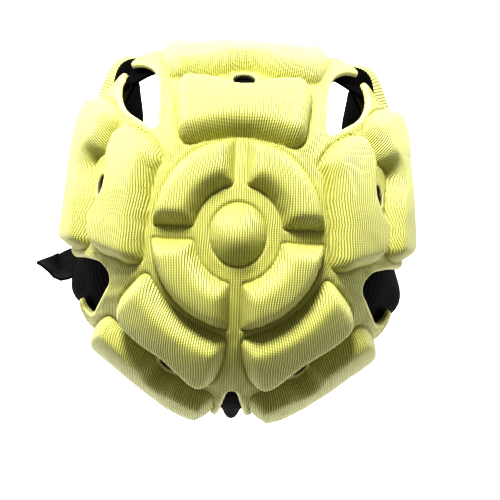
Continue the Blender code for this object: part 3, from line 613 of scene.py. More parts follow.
def inset(loop, depth):
    """Points a set depth inside a loop, or outside it, without those a corner crowds."""
    tangent = unit(np.roll(loop, -1, axis=0) - np.roll(loop, 1, axis=0))
    normal = np.stack([-tangent[:, 1], tangent[:, 0]], axis=1)
    if not inside(loop[:1] + normal[:1] * SAMPLE_STEP, loop)[0]:
        normal = -normal
    moved = loop + normal * depth
    room = away_from(moved, outline_tree([loop]))
    within = inside(moved, loop) == (depth > 0.0)
    return moved[within & (room > INSET_ROOM * abs(depth))]


def spaced(points, room):
    """Points in order, without those that crowd the ones before them."""
    cells, kept = {}, []
    for x, y in points:
        i, j = int(x // room), int(y // room)
        near = [cells.get((i + a, j + b)) for a in (-1, 0, 1) for b in (-1, 0, 1)]
        if any(n is not None and np.hypot(n[0] - x, n[1] - y) < room for n in near):
            continue
        cells[i, j] = (x, y)
        kept.append((x, y))
    return np.array(kept)


def foot_rings(pads, limit):
    """Rows of points along the foot of every pad, where the moulded crease runs."""
    rings = []
    for loop, _ in pads:
        for depth in CREASE_RINGS:
            rings.append(inset(loop, depth) if depth else loop)
    rings = spaced(np.vstack(rings), RING_ROOM)
    clear = away_from(rings, outline_tree(limit)) > HEM_RINGS[-1] + RING_ROOM
    return rings[clear & inside(rings, limit[0])]


def lattice(loop, step):
    """Staggered points over the area inside a loop."""
    low, high = loop.min(axis=0), loop.max(axis=0)
    rows = []
    for k, y in enumerate(np.arange(low[1], high[1], step * ROW_SPACING)):
        xs = np.arange(low[0] + (k % 2) * step / 2, high[0], step)
        rows.append(np.stack([xs, np.full(len(xs), y)], axis=1))
    points = np.vstack(rows)
    return points[inside(points, loop)]


def triangulate(loops, loose):
    """Flat triangles over the first loop; every loop is kept as an edge."""
    points = np.vstack(list(loops) + [loose])
    edges = []
    start = 0
    for loop in loops:
        count = len(loop)
        edges += [(start + k, start + (k + 1) % count) for k in range(count)]
        start += count
    flat = [Vector((float(x), float(y))) for x, y in points]
    found = delaunay_2d_cdt(flat, edges, [], 0, 1e-9, False)
    position = np.array([tuple(p) for p in found[0]])
    faces = np.array([tuple(face) for face in found[2]])
    middle = position[faces].mean(axis=1)
    keep = inside(middle, loops[0])
    for hole in loops[1:]:
        keep &= ~inside(middle, hole)
    faces = faces[keep]
    a, b, c = (position[faces[:, k]] for k in range(3))
    turn = (b[:, 0] - a[:, 0]) * (c[:, 1] - a[:, 1]) - (b[:, 1] - a[:, 1]) * (c[:, 0] - a[:, 0])
    faces[turn < 0] = faces[turn < 0][:, ::-1]
    return position, faces


def cut_cloth(loops, step, pads=()):
    """Flat cloth inside the first loop and outside the others, with hemmed edges."""
    hems = [inset(loops[0], depth) for depth in HEM_RINGS]
    hems += [widened(hole, depth) for hole in loops[1:] for depth in HOLE_RINGS]
    if pads:
        hems.append(foot_rings(pads, loops))
    fixed = np.vstack(list(loops) + hems)
    fill = lattice(loops[0], step)
    fill = fill[away_from(fill, tree_of(fixed)) > ROW_ROOM * step]
    return triangulate(loops, np.vstack(hems + [fill]))


def widened(loop, depth):
    return loop + unit(loop - loop.mean(axis=0)) * depth


def coarse_cloth(loops, step):
    fill = lattice(loops[0], step)
    fill = fill[away_from(fill, tree_of(np.vstack(loops))) > ROW_ROOM * step]
    return triangulate(loops, fill)


def edges_of(faces):
    pairs = np.vstack([faces[:, [0, 1]], faces[:, [1, 2]], faces[:, [2, 0]]])
    return np.unique(np.sort(pairs, axis=1), axis=0)


def relax(values, faces, rounds):
    """Round off a height field by drawing each point toward its neighbours."""
    a, b = edges_of(faces).T
    count = np.bincount(a, minlength=len(values)) + np.bincount(b, minlength=len(values))
    count = np.maximum(count, 1)
    for _ in range(rounds):
        total = np.bincount(a, values[b], len(values)) + np.bincount(b, values[a], len(values))
        values = 0.5 * values + 0.5 * total / count
    return values


def pad_profile(depth, shoulder):
    """Height share of a moulded pad: a short flare at the foot, then a round shoulder."""
    t = np.clip(depth / shoulder, 0.0, 1.0)
    return FOOT_FLARE * t * t * (3.0 - 2.0 * t) + (1.0 - FOOT_FLARE) * np.sin(t * np.pi / 2)


def pad_relief(flat, faces, pads, rise):
    """Height of the moulded pads over the web, rounded off."""
    height = np.zeros(len(flat))
    for loop, shoulder in pads:
        within = inside(flat, loop)
        depth = away_from(flat[within], outline_tree([loop]))
        top = TOP_CROWN * ramp(depth, shoulder * 0.5, TOP_REACH) * rise / PAD_RISE
        height[within] = np.maximum(height[within], rise * pad_profile(depth, shoulder) + top)
    return relax(height, faces, RELAX_ROUNDS)


def crease(flat, pads):
    """The moulded line round the foot of every pad, and the lip just outside it."""
    gap = away_from(flat, outline_tree([loop for loop, _ in pads]))
    outside = np.ones(len(flat), dtype=bool)
    for loop, _ in pads:
        outside &= ~inside(flat, loop)
    line = np.exp(-((gap / CREASE_WIDTH) ** 2))
    return line, outside * np.exp(-(((gap - LIP_OFFSET) / LIP_WIDTH) ** 2))


def fold_relief(flat):
    """Stretch folds between the gaps and the pads, on both sides."""
    height = np.zeros(len(flat))
    for from_deg, from_reach, to_deg, to_reach, half, rise in FOLD_ROWS:
        for side in (1.0, -1.0):
            a = crown_flat(side * from_deg, from_reach * CROWN_ARC)
            b = crown_flat(side * to_deg, to_reach * CROWN_ARC)
            along = b - a
            share = np.clip((flat - a) @ along / (along @ along), 0.0, 1.0)
            off = np.linalg.norm(flat - a - share[:, None] * along, axis=1)
            height = np.maximum(height, rise * np.exp(-((off / half) ** 2)) * np.sin(np.pi * share) ** 0.5)
    return height


def unevenness(flat):
    """Slow unevenness of hand-laid foam and knit."""
    x, y = flat[:, 0], flat[:, 1]
    slow = np.sin(x * 118.0 + 1.3 * np.sin(y * 71.0)) * np.sin(y * 97.0 + 0.8)
    quick = np.sin(x * 305.0 + 2.0 * np.sin(y * 190.0 + 0.4)) * np.sin(y * 260.0 + x * 90.0)
    return SLOW_RISE * slow + QUICK_RISE * quick


def hem_profile(gap, thickness):
    """Thickness of the web near its cut edge: rolled over, with a sewn bead."""
    t = np.clip(gap / HEM_ROUND, 0.0, 1.0)
    rolled = HEM_THIN + (1.0 - HEM_THIN) * np.sqrt(1.0 - (1.0 - t) ** 2)
    bead = HEM_BEAD * np.exp(-(((gap - HEM_ROUND) / HEM_BEAD_WIDTH) ** 2))
    return thickness * rolled + bead


def border_edges(faces):
    """Directed edges that belong to one face only."""
    pairs = np.vstack([faces[:, [0, 1]], faces[:, [1, 2]], faces[:, [2, 0]]])
    size = faces.max() + 1
    forward = pairs[:, 0] * size + pairs[:, 1]
    backward = pairs[:, 1] * size + pairs[:, 0]
    return pairs[~np.isin(forward, backward)]


def join_sheets(outer, inner):
    """One closed piece from two (flat, points, faces) sheets with the same border."""
    outer_flat, outer_points, outer_faces = outer
    inner_flat, inner_points, inner_faces = inner
    shift = len(outer_points)
    tree = tree_of(inner_flat)
    rim = border_edges(outer_faces)
    match = {int(k): tree.find((*outer_flat[k], 0.0))[1] + shift for k in np.unique(rim)}
    walls = []
    for a, b in rim.tolist():
        walls += [(b, a, match[a]), (b, match[a], match[b])]
    faces = np.vstack([outer_faces, inner_faces[:, ::-1] + shift, np.array(walls)])
    return np.vstack([outer_flat, inner_flat]), np.vstack([outer_points, inner_points]), faces


def outward(points, faces):
    """Turn the faces over when the piece is inside out."""
    a, b, c = (points[faces[:, k]] for k in range(3))
    return faces if np.sum(a * np.cross(b, c)) > 0 else faces[:, ::-1]


def cloth_object(name, flat, points, faces, material, shades=None):
    """A piece from points in the crown's frame, with its flat cut as a UV map."""
    used = np.unique(faces)
    renumber = np.zeros(len(points), dtype=int)
    renumber[used] = np.arange(len(used))
    faces = outward(points, faces)
    mesh = bpy.data.meshes.new(name)
    mesh.from_pydata(crown_world(points[used]).tolist(), [], renumber[faces].tolist())
    lay_cut(mesh, flat[used])
    for key, values in (shades or {}).items():
        layer = mesh.attributes.new(key, "FLOAT", "POINT")
        layer.data.foreach_set("value", values[used].astype(np.float32))
    mesh.shade_smooth()
    mesh.set_sharp_from_angle(angle=np.radians(SHARP_DEG))
    mesh.materials.append(material)
    item = bpy.data.objects.new(name, mesh)
    bpy.context.collection.objects.link(item)
    return item


def copy_right(item, name):
    """The same piece for the wearer's right side, as its own mesh."""
    twin = item.copy()
    twin.data = item.data.copy()
    twin.name = twin.data.name = name
    bpy.context.collection.objects.link(twin)
    mesh = twin.data
    place = coordinates(mesh)
    place[:, 0] = 2 * CROWN_MIDDLE[0] - place[:, 0]
    mesh.vertices.foreach_set("co", place.ravel())
    mesh.flip_normals()
    mesh.update()
    return twin


def make_camera():
    data = bpy.data.cameras.new("photo_camera")
    data.sensor_width = CAMERA_SENSOR
    data.lens = CAMERA_LENS
    data.shift_x, data.shift_y = CAMERA_SHIFT
    data.clip_start = CAMERA_NEAR
    camera = bpy.data.objects.new("photo_camera", data)
    camera.location = (CROWN_MIDDLE[0], CROWN_MIDDLE[1], CAMERA_HEIGHT)
    camera.rotation_euler = Euler((0.0, 0.0, np.radians(CAMERA_TURN_DEG)))
    bpy.context.collection.objects.link(camera)
    bpy.context.scene.camera = camera


def add_light(name, place, aim, size, power):
    data = bpy.data.lights.new(name, "AREA")
    data.shape = "DISK"
    data.size = size
    data.energy = power
    light = bpy.data.objects.new(name, data)
    light.location = place
    light.rotation_euler = (Vector(aim) - Vector(place)).to_track_quat("-Z", "Y").to_euler()
    bpy.context.collection.objects.link(light)


def make_light():
    world = bpy.data.worlds.new("pale_studio")
    world.use_nodes = True
    sky = world.node_tree.nodes["Background"]
    sky.inputs["Color"].default_value = (1.0, 1.0, 1.0, 1.0)
    sky.inputs["Strength"].default_value = WORLD_STRENGTH
    bpy.context.scene.world = world
    view = bpy.context.scene.view_settings
    view.view_transform = "Standard"
    view.look = "High Contrast"
    view.exposure = VIEW_EXPOSURE
    add_light("key", KEY_PLACE, KEY_AIM, KEY_SIZE, KEY_POWER)


def make_floor():
    deselect()
    bpy.ops.mesh.primitive_plane_add(size=FLOOR_SIZE, location=(0.0, 0.0, 0.0))
    floor = bpy.context.object
    floor.name = "pale_floor"
    tree = Tree("pale_table")
    tree.shader(base=FLOOR_COLOUR, roughness=0.8)
    tree.put(tree.principled.inputs["Emission Color"], (1.0, 1.0, 1.0))
    tree.put(tree.principled.inputs["Emission Strength"], FLOOR_GLOW)
    floor.data.materials.append(tree.material)


def deselect():
    for item in bpy.context.selected_objects:
        item.select_set(False)
    bpy.context.view_layer.objects.active = None


class Tree:
    """A material's nodes, added one by one from its inputs to its shader."""

    def __init__(self, name):
        self.material = bpy.data.materials.new(name)
        self.material.use_nodes = True
        self.nodes = self.material.node_tree.nodes
        self.links = self.material.node_tree.links
        self.principled = self.nodes["Principled BSDF"]

    def put(self, socket, value):
        if isinstance(value, bpy.types.NodeSocket):
            self.links.new(value, socket)
        elif isinstance(value, tuple) and len(value) == 3 and socket.type == "RGBA":
            socket.default_value = (*value, 1.0)
        else:
            socket.default_value = value

    def math(self, operation, a, b=0.0, c=0.0):
        node = self.nodes.new("ShaderNodeMath")
        node.operation = operation
        for socket, value in zip(node.inputs, (a, b, c)):
            self.put(socket, value)
        return node.outputs[0]

    def span(self, value, from_low, from_high, to_low, to_high):
        node = self.nodes.new("ShaderNodeMapRange")
        for key, number in (("From Min", from_low), ("From Max", from_high),
                            ("To Min", to_low), ("To Max", to_high)):
            node.inputs[key].default_value = number
        self.put(node.inputs["Value"], value)
        return node.outputs["Result"]

    def mix(self, factor, low, high):
        node = self.nodes.new("ShaderNodeMix")
        node.data_type = "RGBA"
        self.put(node.inputs["Factor"], factor)
        self.put(node.inputs[6], low)
        self.put(node.inputs[7], high)
        return node.outputs[2]

    def noise(self, vector, scale, detail=2.0):
        node = self.nodes.new("ShaderNodeTexNoise")
        node.inputs["Scale"].default_value = scale
        node.inputs["Detail"].default_value = detail
        self.put(node.inputs["Vector"], vector)
        return node.outputs["Fac"]

    def uv(self):
        node = self.nodes.new("ShaderNodeUVMap")
        node.uv_map = "cut"
        return node.outputs["UV"]

    def place(self):
        return self.nodes.new("ShaderNodeTexCoord").outputs["Object"]

    def split(self, vector):
        node = self.nodes.new("ShaderNodeSeparateXYZ")
        self.put(node.inputs[0], vector)
        return node.outputs[0], node.outputs[1]

    def shade(self, name):
        node = self.nodes.new("ShaderNodeAttribute")
        node.attribute_name = name
        return node.outputs["Fac"]

    def wave(self, value, pitch):
        """A wave from 0 to 1, once every pitch."""
        turned = self.math("MULTIPLY", value, 2 * np.pi / pitch)
        return self.math("MULTIPLY_ADD", self.math("COSINE", turned), 0.5, 0.5)

    def bump(self, height, distance, strength=0.8):
        node = self.nodes.new("ShaderNodeBump")
        node.inputs["Distance"].default_value = distance
        node.inputs["Strength"].default_value = strength
        self.put(node.inputs["Height"], height)
        return node.outputs["Normal"]

    def shader(self, base, roughness, normal=None, specular=0.3, sheen=0.0,
               sheen_tint=(1.0, 1.0, 1.0)):
        inputs = self.principled.inputs
        self.put(inputs["Base Color"], base)
        self.put(inputs["Roughness"], roughness)
        self.put(inputs["Specular IOR Level"], specular)
        self.put(inputs["Sheen Weight"], sheen)
        self.put(inputs["Sheen Roughness"], SHEEN_ROUGHNESS)
        self.put(inputs["Sheen Tint"], sheen_tint)
        if normal is not None:
            self.put(inputs["Normal"], normal)
        return self.material


def rib_knit():
    """Bright rib knit: raised ribs run front to back, with painted shade in the grooves between them."""
    tree = Tree("bright_rib_knit")
    cut = tree.uv()
    across, along = tree.split(cut)
    across = tree.math("MULTIPLY_ADD", tree.noise(cut, WANDER_GRAIN, 1.0), RIB_WANDER, across)
    rib = tree.math("POWER", tree.wave(across, RIB_PITCH), RIB_ROUND)
    slant = tree.math("ABSOLUTE", tree.math("SINE", tree.math("MULTIPLY", across, np.pi / RIB_PITCH)))
    loops = tree.wave(tree.math("MULTIPLY_ADD", slant, LOOP_SLANT, along), LOOP_PITCH)
    fuzz = tree.noise(cut, FUZZ_GRAIN)
    fade = tree.span(tree.noise(cut, FADE_GRAIN), *FADE_SHOWS)
    # Painted shade in the grooves between ribs.
    knit = tree.mix(rib, KNIT_GROOVE_SHADE, KNIT_RIB)
    knit = tree.mix(tree.math("MULTIPLY", loops, LOOP_SHOWS), knit, KNIT_LOOP)
    knit = tree.mix(fade, knit, KNIT_FADE)
    # Painted shade in the creases and over the open web, from the valley shade attribute.
    knit = tree.mix(tree.math("MULTIPLY", tree.shade("valley"), VALLEY_SHADE_SHOWS), knit, KNIT_VALLEY_SHADE)
    knit = tree.mix(tree.shade("hem"), knit, KNIT_HEM)
    knit = tree.mix(tree.shade("bound"), knit, KNIT_BINDING)
    height = tree.math("MULTIPLY_ADD", loops, LOOP_HEIGHT, rib)
    bump = tree.bump(tree.math("MULTIPLY_ADD", fuzz, FUZZ_HEIGHT, height), KNIT_BUMP)
    rough = tree.span(fuzz, *KNIT_ROUGH)
    return tree.shader(knit, rough, bump, KNIT_SPECULAR, KNIT_SHEEN, KNIT_SHEEN_TINT)


def worn(tree, weave, colours, wear):
    """Colour of a black weave, paler where it is raised and where it is worn."""
    deep, raised, rubbed = colours
    grain, detail, low, high, share = wear
    patches = tree.span(tree.noise(tree.place(), grain, detail), low, high, 0.0, share)
    return tree.mix(patches, tree.mix(weave, deep, raised), rubbed)


def lining_cloth():
    """Thin brushed black lining."""
    tree = Tree("black_brushed_lining")
    nap = tree.noise(tree.place(), NAP_GRAIN, 3.0)
    cloth = worn(tree, nap, BLACK_LINING, LINING_WEAR)
    rough = tree.span(nap, 0.3, 0.7, 0.8, 0.95)
    return tree.shader(cloth, rough, tree.bump(nap, 0.0003, 0.7), 0.03)


def elastic_weave():
    """Black braided elastic: cords along it, and a fine weave across them."""
    tree = Tree("black_braided_elastic")
    along, across = tree.split(tree.uv())
    cords = tree.wave(across, CORD_PITCH)
    picks = tree.wave(tree.math("MULTIPLY_ADD", cords, PICK_SLANT, along), PICK_PITCH)
    weave = tree.math("MULTIPLY", cords, tree.math("MULTIPLY_ADD", picks, 0.5, 0.5))
    cloth = worn(tree, weave, BLACK_ELASTIC, ELASTIC_WEAR)
    rough = tree.span(picks, 0.0, 1.0, 0.62, 0.8)
    return tree.shader(cloth, rough, tree.bump(weave, 0.0002), 0.03)


def strap_webbing():
    """Black flat webbing in a herringbone weave."""
    tree = Tree("black_webbing")
    along, across = tree.split(tree.uv())
    zigzag = tree.math("PINGPONG", across, WEBBING_CHEVRON)
    ribs = tree.wave(tree.math("MULTIPLY_ADD", zigzag, CHEVRON_SLANT, along), WEBBING_PITCH)
    weave = tree.math("MULTIPLY_ADD", tree.wave(across, YARN_PITCH), 0.35, ribs)
    cloth = worn(tree, tree.math("MULTIPLY", weave, 0.7), BLACK_WEBBING, WEBBING_WEAR)
    rough = tree.span(ribs, 0.0, 1.0, 0.55, 0.75)
    return tree.shader(cloth, rough, tree.bump(weave, 0.00025), 0.06)


def sewing_thread(name, colour):
    tree = Tree(name)
    twist = tree.noise(tree.place(), TWIST_GRAIN, 1.0)
    shade = tree.mix(twist, tuple(0.7 * c for c in colour), colour)
    return tree.shader(shade, 0.55, tree.bump(twist, 0.0001, 0.6), 0.4)


def rib_run(flat, lift):
    """How far out each point lies along the stretched knit, over pads and web."""
    span = np.arange(-RIB_SPAN, RIB_SPAN, RIB_GRID)
    x, y = (axis.ravel() for axis in np.meshgrid(span, span, indexing="ij"))
    tree = tree_of(flat)
    height = lift[[tree.find((a, b, 0.0))[1] for a, b in zip(x, y)]]
    shrink = np.minimum(1.0, RIB_SPAN / np.hypot(x, y))
    points = crown_raise(np.stack([x * shrink, y * shrink], axis=1), height)
    points = points.reshape(len(span), len(span), 3)
    stretch = np.linalg.norm(np.diff(points, axis=0), axis=2)
    stretch = RIB_EASE * stretch + (1.0 - RIB_EASE) * RIB_GRID
    run = np.vstack([np.zeros(len(span)), np.cumsum(stretch, axis=0)])
    run -= run[len(span) // 2]
    run = sum(np.roll(run, k, axis=1) for k in range(-RIB_SMOOTH, RIB_SMOOTH + 1))
    run /= 2 * RIB_SMOOTH + 1
    at = (flat + RIB_SPAN) / RIB_GRID
    i, j = np.clip(at.astype(int), 0, len(span) - 2).T
    a, b = at[:, 0] - i, at[:, 1] - j
    low = run[i, j] * (1.0 - b) + run[i, j + 1] * b
    high = run[i + 1, j] * (1.0 - b) + run[i + 1, j + 1] * b
    return low * (1.0 - a) + high * a


def knit_shell(cloth):
    """The moulded knit shell, and its flat cut with the height over the form."""
    vents = crown_vents()
    loops = [crown_outline(SHELL_EDGE)] + vents
    pads = crown_pads()
    flat, faces = cut_cloth(loops, KNIT_STEP, pads)
    hem_gap = away_from(flat, outline_tree(loops))
    relief = pad_relief(flat, faces, pads, PAD_RISE)
    line, lip = crease(flat, pads)
    open_web = 1.0 - ramp(relief / PAD_RISE, *WEB_FADE)
    moulded = relief + LIP_RISE * lip - CREASE_DEPTH * line
    moulded += fold_relief(flat) * (FOLD_ON_PADS + (1.0 - FOLD_ON_PADS) * open_web)
    lift = hem_profile(hem_gap, WEB) + moulded * ramp(hem_gap, *HEM_EASE)
    lift += unevenness(flat) * ramp(hem_gap, *HEM_LEVEL)
    outer = crown_raise(flat, lift)
    inner_flat, inner_faces = coarse_cloth(loops, HIDDEN_STEP)
    inner = crown_raise(inner_flat, 0.0)
    # Painted shade: darkest in the crease at each pad's foot, lighter over the open web between pads.
    valley = np.clip(line * 0.8 + 0.35 * open_web, 0.0, 1.0)
    hem = 1.0 - ramp(hem_gap, *HEM_SHADE)
    cut, points, faces = join_sheets((flat, outer, faces), (inner_flat, inner, inner_faces))
    cut[:len(flat), 0] = rib_run(flat, lift)
    rest = np.zeros(len(inner_flat))
    holes = outline_tree(vents)
    bound = 1.0 - ramp(away_from(flat, holes), *VENT_BINDING)
    behind = (away_from(inner_flat, holes) < VENT_DEPTH).astype(float)
    shades = {"valley": np.concatenate([valley, rest]), "hem": np.concatenate([hem, rest]),
              "bound": np.concatenate([bound, behind])}
    piece = cloth_object("knit_shell", cut, points, faces, cloth, shades)
    finish(piece, ["shell"])


def finish(piece, nodes):
    """Attach the piece to the root body and hide the CAD parts it stands in for."""
    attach(piece, "root")
    if nodes:
        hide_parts(*nodes)


def shell_lining(cloth):
    """Black lining, pressed a little into the hollows of the pads."""
    loop = crown_outline(SHELL_EDGE)
    pads = crown_pads()
    fill = lattice(loop, LINING_STEP)
    rim = inset(loop, LINING_RIM)
    fill = fill[away_from(fill, tree_of(np.vstack([loop, rim]))) > ROW_ROOM * LINING_STEP]
    flat, faces = triangulate([loop], np.vstack([rim, fill]))
    relief = pad_relief(flat, faces, pads, PAD_RISE) / PAD_RISE
    gap = away_from(flat, outline_tree([loop]))
    bulge = LINING_BULGE * relief * ramp(gap, 0.0, HEM_LEVEL[1])
    rounded = LINING_ROUND * LINING * (1.0 - ramp(gap, 0.0, LINING_RIM))
    near = crown_raise(flat, -GAP)
    far = crown_raise(flat, rounded - bulge - (GAP + LINING))
    joined = join_sheets((flat, near, faces), (flat, far, faces))
    piece = cloth_object("lining_cloth", *joined, cloth)
    finish(piece, ["lining"])


def flap_seat(flat):
    """Lift of the flap's inner face over each point of its pattern."""
    azimuth = np.degrees(flat[:, 0] / FLAP_RADIUS)
    drop = flat[:, 1] / RIM_HEIGHT
    belly = ramp(drop, SWING_FROM, SWING_TO) * (1.0 - ramp(drop, SWING_TO, 1.0))
    cheek = 1.0 - ramp(azimuth, *CHEEK_END_DEG)
    return FLAP_SEAT - FLAP_THICKNESS + CHEEK_SWING * cheek * belly


def flap_border():
    """Flap outline: level on the floor, and raised where the chin strap passes."""
    loop = even(flap_outline(FLAP_EDGE), FLAP_FINE_STEP)
    middle = np.radians(CHIN_AZIMUTH) * FLAP_RADIUS
    away = np.abs(loop[:, 0] - middle)
    floor = RIM_HEIGHT - PASS_HEIGHT * (1.0 - ramp(away, PASS_ROOM, PASS_ROOM + PASS_EASE))
    loop[:, 1] = np.minimum(loop[:, 1], floor)
    return loop


def flap_pads():
    return [(flap_outline(rows), FLAP_SHOULDER) for rows in (CHEEK_PAD, BACK_PAD)]


def ear_flaps(cloth, black):
    edge, hole = flap_border(), flap_outline(EAR_HOLE)
    pads = flap_pads()
    flat, faces = cut_cloth([edge, hole], FLAP_FINE_STEP, pads)
    hem_gap = away_from(flat, outline_tree([edge, hole]))
    relief = pad_relief(flat, faces, pads, FLAP_PAD_RISE)
    line, lip = crease(flat, pads)
    lift = flap_seat(flat) + hem_profile(hem_gap, FLAP_THICKNESS - HEM_BEAD) + relief
    moulded = 0.5 * LIP_RISE * lip - 0.6 * CREASE_DEPTH * line
    lift += (0.7 * unevenness(flat * 1.3) + moulded) * ramp(hem_gap, *HEM_LEVEL)
    outer = flap_raise(flat, lift)
    inner_flat, inner_faces = coarse_cloth([edge, hole], HIDDEN_STEP)
    inner = flap_raise(inner_flat, flap_seat(inner_flat))
    rest = np.zeros(len(inner_flat))
    hem = 1.0 - ramp(hem_gap, *HEM_SHADE)
    # Painted shade in the creases at the pads' feet.
    shades = {"valley": np.concatenate([line * 0.8, rest]), "hem": np.concatenate([hem, rest])}
    joined = join_sheets((flat, outer, faces), (inner_flat, inner, inner_faces))
    left = cloth_object("ear_flap_left_pad", *joined, cloth, shades)
    finish(copy_right(left, "ear_flap_right_pad"), ["ear_flap_right"])
    finish(left, ["ear_flap_left"])

    back_flat, back_faces = cut_cloth([edge, hole], LINING_STEP)
    seat = flap_seat(back_flat)
    near = flap_raise(back_flat, seat - GAP)
    far = flap_raise(back_flat, seat - GAP - LINING)
    joined = join_sheets((back_flat, near, back_faces), (back_flat, far, back_faces))
    left = cloth_object("flap_lining_left_cloth", *joined, black)
    finish(copy_right(left, "flap_lining_right_cloth"), ["flap_lining_right"])
    finish(left, ["flap_lining_left"])


def strap_grid(name, columns, rows, place, material, size):
    """A flat strap: a grid laid along its run, to be given its thickness and edges after."""
    deselect()
    bpy.ops.mesh.primitive_grid_add(x_subdivisions=columns, y_subdivisions=rows, size=1.0)
    piece = bpy.context.object
    piece.name = piece.data.name = name
    mesh = piece.data
    run, across = (coordinates(mesh) + 0.5).T[:2]
    points = crown_world(place(run, across))
    mesh.vertices.foreach_set("co", points.ravel())
    while mesh.uv_layers:
        mesh.uv_layers.remove(mesh.uv_layers[0])
    lay_cut(mesh, np.stack([run, across], axis=1) * size)
    mesh.materials.append(material)
    mesh.update()
    return piece


def thicken(piece, thickness):
    """Give a strap its thickness about its middle, and soften its edges."""
    wall = piece.modifiers.new("wall", "SOLIDIFY")
    wall.thickness = thickness
    wall.offset = 0.0
    edge = piece.modifiers.new("edge", "BEVEL")
    edge.width = EDGE_SHARE * thickness
    edge.segments = 2
    edge.angle_limit = np.radians(EDGE_DEG)
    deselect()
    bpy.context.view_layer.objects.active = piece
    piece.select_set(True)
    bpy.ops.object.modifier_apply(modifier="wall")
    bpy.ops.object.modifier_apply(modifier="edge")
    bpy.ops.object.mode_set(mode="EDIT")
    bpy.ops.mesh.select_all(action="SELECT")
    bpy.ops.mesh.normals_make_consistent(inside=False)
    bpy.ops.object.mode_set(mode="OBJECT")
    bpy.ops.object.shade_smooth_by_angle(angle=np.radians(STRAP_SHARP_DEG))


def elastic_straps(black):
    for row in STRAP_ROWS:
        name, start, end, upper, lower, upper_slant, lower_slant = row[:7]
        stand_out, out_from, lean = row[7:]
        length = np.radians(end - start) * MEAN_RADIUS
        width = (lower - upper) * CROWN_ARC

        def place(run, across):
            azimuth = start + run * (end - start)
            slant = upper_slant + across * (lower_slant - upper_slant)
            reach = upper + across * (lower - upper) + slant * run
            middle = ramp(np.minimum(run, 1.0 - run), out_from, 0.5)
            flare = stand_out * ramp(across, *STRAP_FLARE) - lean * (1.0 - across)
            lift = STRAP_SEAT + flare * middle
            cords = CORD_RISE * np.cos(across * width * 2 * np.pi / CORD_PITCH)
            flat = crown_flat(azimuth, reach * CROWN_ARC)
            return crown_raise(flat, lift - 0.5 * STRAP + cords)

        columns = int(length / STRAP_FINE_STEP)
        piece = strap_grid(name + "_elastic", columns, CORD_COLUMNS, place, black, (length, width))
        thicken(piece, STRAP - 2 * CORD_RISE)
        if start < 180.0 < end:
            finish(piece, [name])
            continue
        piece.name = piece.data.name = name + "_left_elastic"
        finish(copy_right(piece, name + "_right_elastic"), [name + "_right"])
        finish(piece, [name + "_left"])


def flap_foot(azimuth, height, lift):
    """Point at a height over the floor, out from the flap's padded face."""
    flat = flap_flat(np.array([azimuth]), np.array([1.0 - height / RIM_HEIGHT]))
    face = flap_seat(flat) + FLAP_THICKNESS + FLAP_PAD_RISE
    return flap_raise(flat, face + lift)[0]


def chin_route():
    """Middle line of the chin strap and the way its width runs, right to left."""
    half = CHIN_THICKNESS / 2
    on_face = half + CHIN_CLEAR
    up = CHIN_HEIGHT
    out = flap_foot(CHIN_AZIMUTH, 0.5 * up, on_face)
    top = flap_foot(CHIN_AZIMUTH, up, on_face)
    foot = np.array([out[0] - 2 * half, out[1], half])
    bend = np.array([out[0] + 3 * half, out[1], 0.13 * up])
    rise = np.array([out[0] + half, out[1], 0.32 * up])
    inner = foot * (0.84, 0.90, 1.0)
    quarter = np.array([0.45 * foot[0], foot[1] - 0.72 * CHIN_BOW, half])
    middle = np.array([0.0, foot[1] - CHIN_BOW, half])
    mirror = np.array([-1.0, 1.0, 1.0])
    level = np.array([0.0, 1.0, 0.0])
    sweep = np.degrees(CHIN_WIDTH / 2 / FLAP_RADIUS)
    ahead, behind = (flap_foot(CHIN_AZIMUTH + turn, up, 0.0) for turn in (sweep, -sweep))
    tangent = unit(ahead - behind)
    slant = np.array([0.42, 0.90, 0.0])
    side = [top, out, rise, bend, foot, inner, quarter]
    side_width = [tangent, tangent, tangent, level, level, level, slant]
    route = [point * mirror for point in side] + [middle] + side[::-1]
    width = [across * mirror for across in side_width] + [level] + side_width[::-1]
    width = [unit(across) for across in width]
    for away, back, rise_share, lean_back, lean_up in TAIL_ROWS:
        route.append(top + CHIN_TAIL * np.array([away, back, rise_share]))
        width.append(lean_back * tangent + (0.0, 0.0, lean_up))
    return np.array(route), np.array(width)


def open_spline(points):
    """Smooth open curve through points."""
    padded = np.vstack([2 * points[:1] - points[1:2], points, 2 * points[-1:] - points[-2:-1]])
    rows = []
    for k in range(len(points) - 1):
        for t in np.linspace(0.0, 1.0, CURVE_SAMPLES, endpoint=False):
            rows.append(between(*padded[k:k + 4], t))
    rows.append(points[-1])
    return np.array(rows)


def chin_webbing(black):
    """The chin strap from its seam on the right flap round to its free end."""
    route, width = chin_route()
    line, lean = open_spline(route), open_spline(width)
    run = np.concatenate([[0.0], np.cumsum(np.linalg.norm(np.diff(line, axis=0), axis=1))])
    length = run[-1]
    columns = int(length / STRAP_FINE_STEP)
    at = np.linspace(0.0, length, columns + 1)
    line, lean = (np.stack([np.interp(at, run, values[:, k]) for k in range(3)], axis=1)
                  for values in (line, lean))
    along = unit(np.gradient(line, axis=0))
    lean = unit(lean - along * np.sum(lean * along, axis=1, keepdims=True))

    def place(share, across):
        k = np.rint(share * columns).astype(int)
        spot = line[k] + lean[k] * ((across - 0.5) * CHIN_WIDTH)[:, None]
        spot[:, 2] = np.maximum(spot[:, 2], CHIN_THICKNESS / 2)
        return spot

    piece = strap_grid("chin_webbing", columns, CHIN_COLUMNS, place, black, (length, CHIN_WIDTH))
    thicken(piece, CHIN_THICKNESS)
    finish(piece, ["chin_strap"])


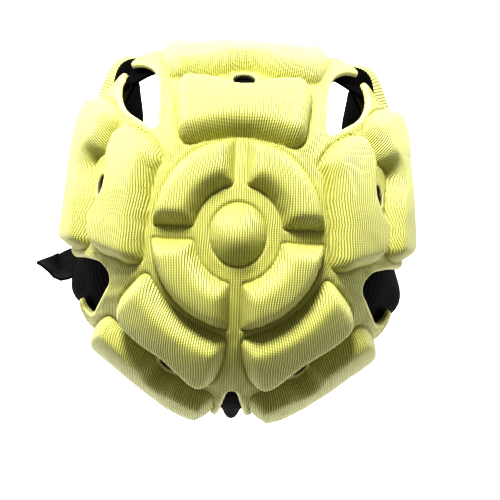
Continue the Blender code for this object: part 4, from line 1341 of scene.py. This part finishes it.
def stitches(name, path, normals, thread):
    """A row of small stitches centred on the points of a path."""
    deselect()
    bpy.ops.mesh.primitive_uv_sphere_add(segments=6, ring_count=4, radius=0.5)
    seed = bpy.context.object
    spot = coordinates(seed.data)
    faces = [tuple(face.vertices) for face in seed.data.polygons]
    points, joined = [], []
    for k in range(len(path)):
        along = unit(path[(k + 1) % len(path)] - path[k - 1])
        side = unit(np.cross(normals[k], along))
        turn = np.stack([along * STITCH_LENGTH, side * THREAD, normals[k] * THREAD])
        joined += [tuple(v + len(points) * len(spot) for v in face) for face in faces]
        points.append(spot @ turn + path[k])
    bpy.data.objects.remove(seed, do_unlink=True)
    data = bpy.data.meshes.new(name)
    data.from_pydata(crown_world(np.vstack(points)).tolist(), [], joined)
    data.shade_smooth()
    data.materials.append(thread)
    piece = bpy.data.objects.new(name, data)
    bpy.context.collection.objects.link(piece)
    return piece


def hem_stitching(thread):
    """Stitch rows along the cut edges of the shell and of the flaps."""
    loop = inset(even(crown_outline(SHELL_EDGE), STITCH_PITCH), STITCH_INSET)
    base = hem_profile(np.full(len(loop), STITCH_INSET), WEB) + THREAD_RAISE
    path = crown_raise(loop, base)
    normals = unit(crown_raise(loop, base + STITCH_INSET) - path)
    finish(stitches("shell_stitching", path, normals, thread), [])

    loop = inset(even(flap_border(), STITCH_PITCH), STITCH_INSET)
    base = hem_profile(np.full(len(loop), STITCH_INSET), FLAP_THICKNESS - HEM_BEAD)
    base += flap_seat(loop) + THREAD_RAISE
    path = flap_raise(loop, base)
    normals = unit(flap_raise(loop, base + STITCH_INSET) - path)
    left = stitches("flap_stitching_left", path, normals, thread)
    finish(copy_right(left, "flap_stitching_right"), [])
    finish(left, [])


def main():
    make_camera()
    make_light()
    make_floor()
    yellow, black = rib_knit(), lining_cloth()
    knit_shell(yellow)
    shell_lining(black)
    ear_flaps(yellow, black)
    elastic_straps(elastic_weave())
    chin_webbing(strap_webbing())
    hem_stitching(sewing_thread("bright_thread", KNIT_RIB))


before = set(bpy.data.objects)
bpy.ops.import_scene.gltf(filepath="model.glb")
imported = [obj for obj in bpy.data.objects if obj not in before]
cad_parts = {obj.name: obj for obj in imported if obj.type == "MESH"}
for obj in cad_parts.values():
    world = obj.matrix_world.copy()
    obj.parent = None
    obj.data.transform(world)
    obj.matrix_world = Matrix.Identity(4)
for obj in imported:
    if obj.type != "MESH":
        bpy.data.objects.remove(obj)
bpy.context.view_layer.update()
main()
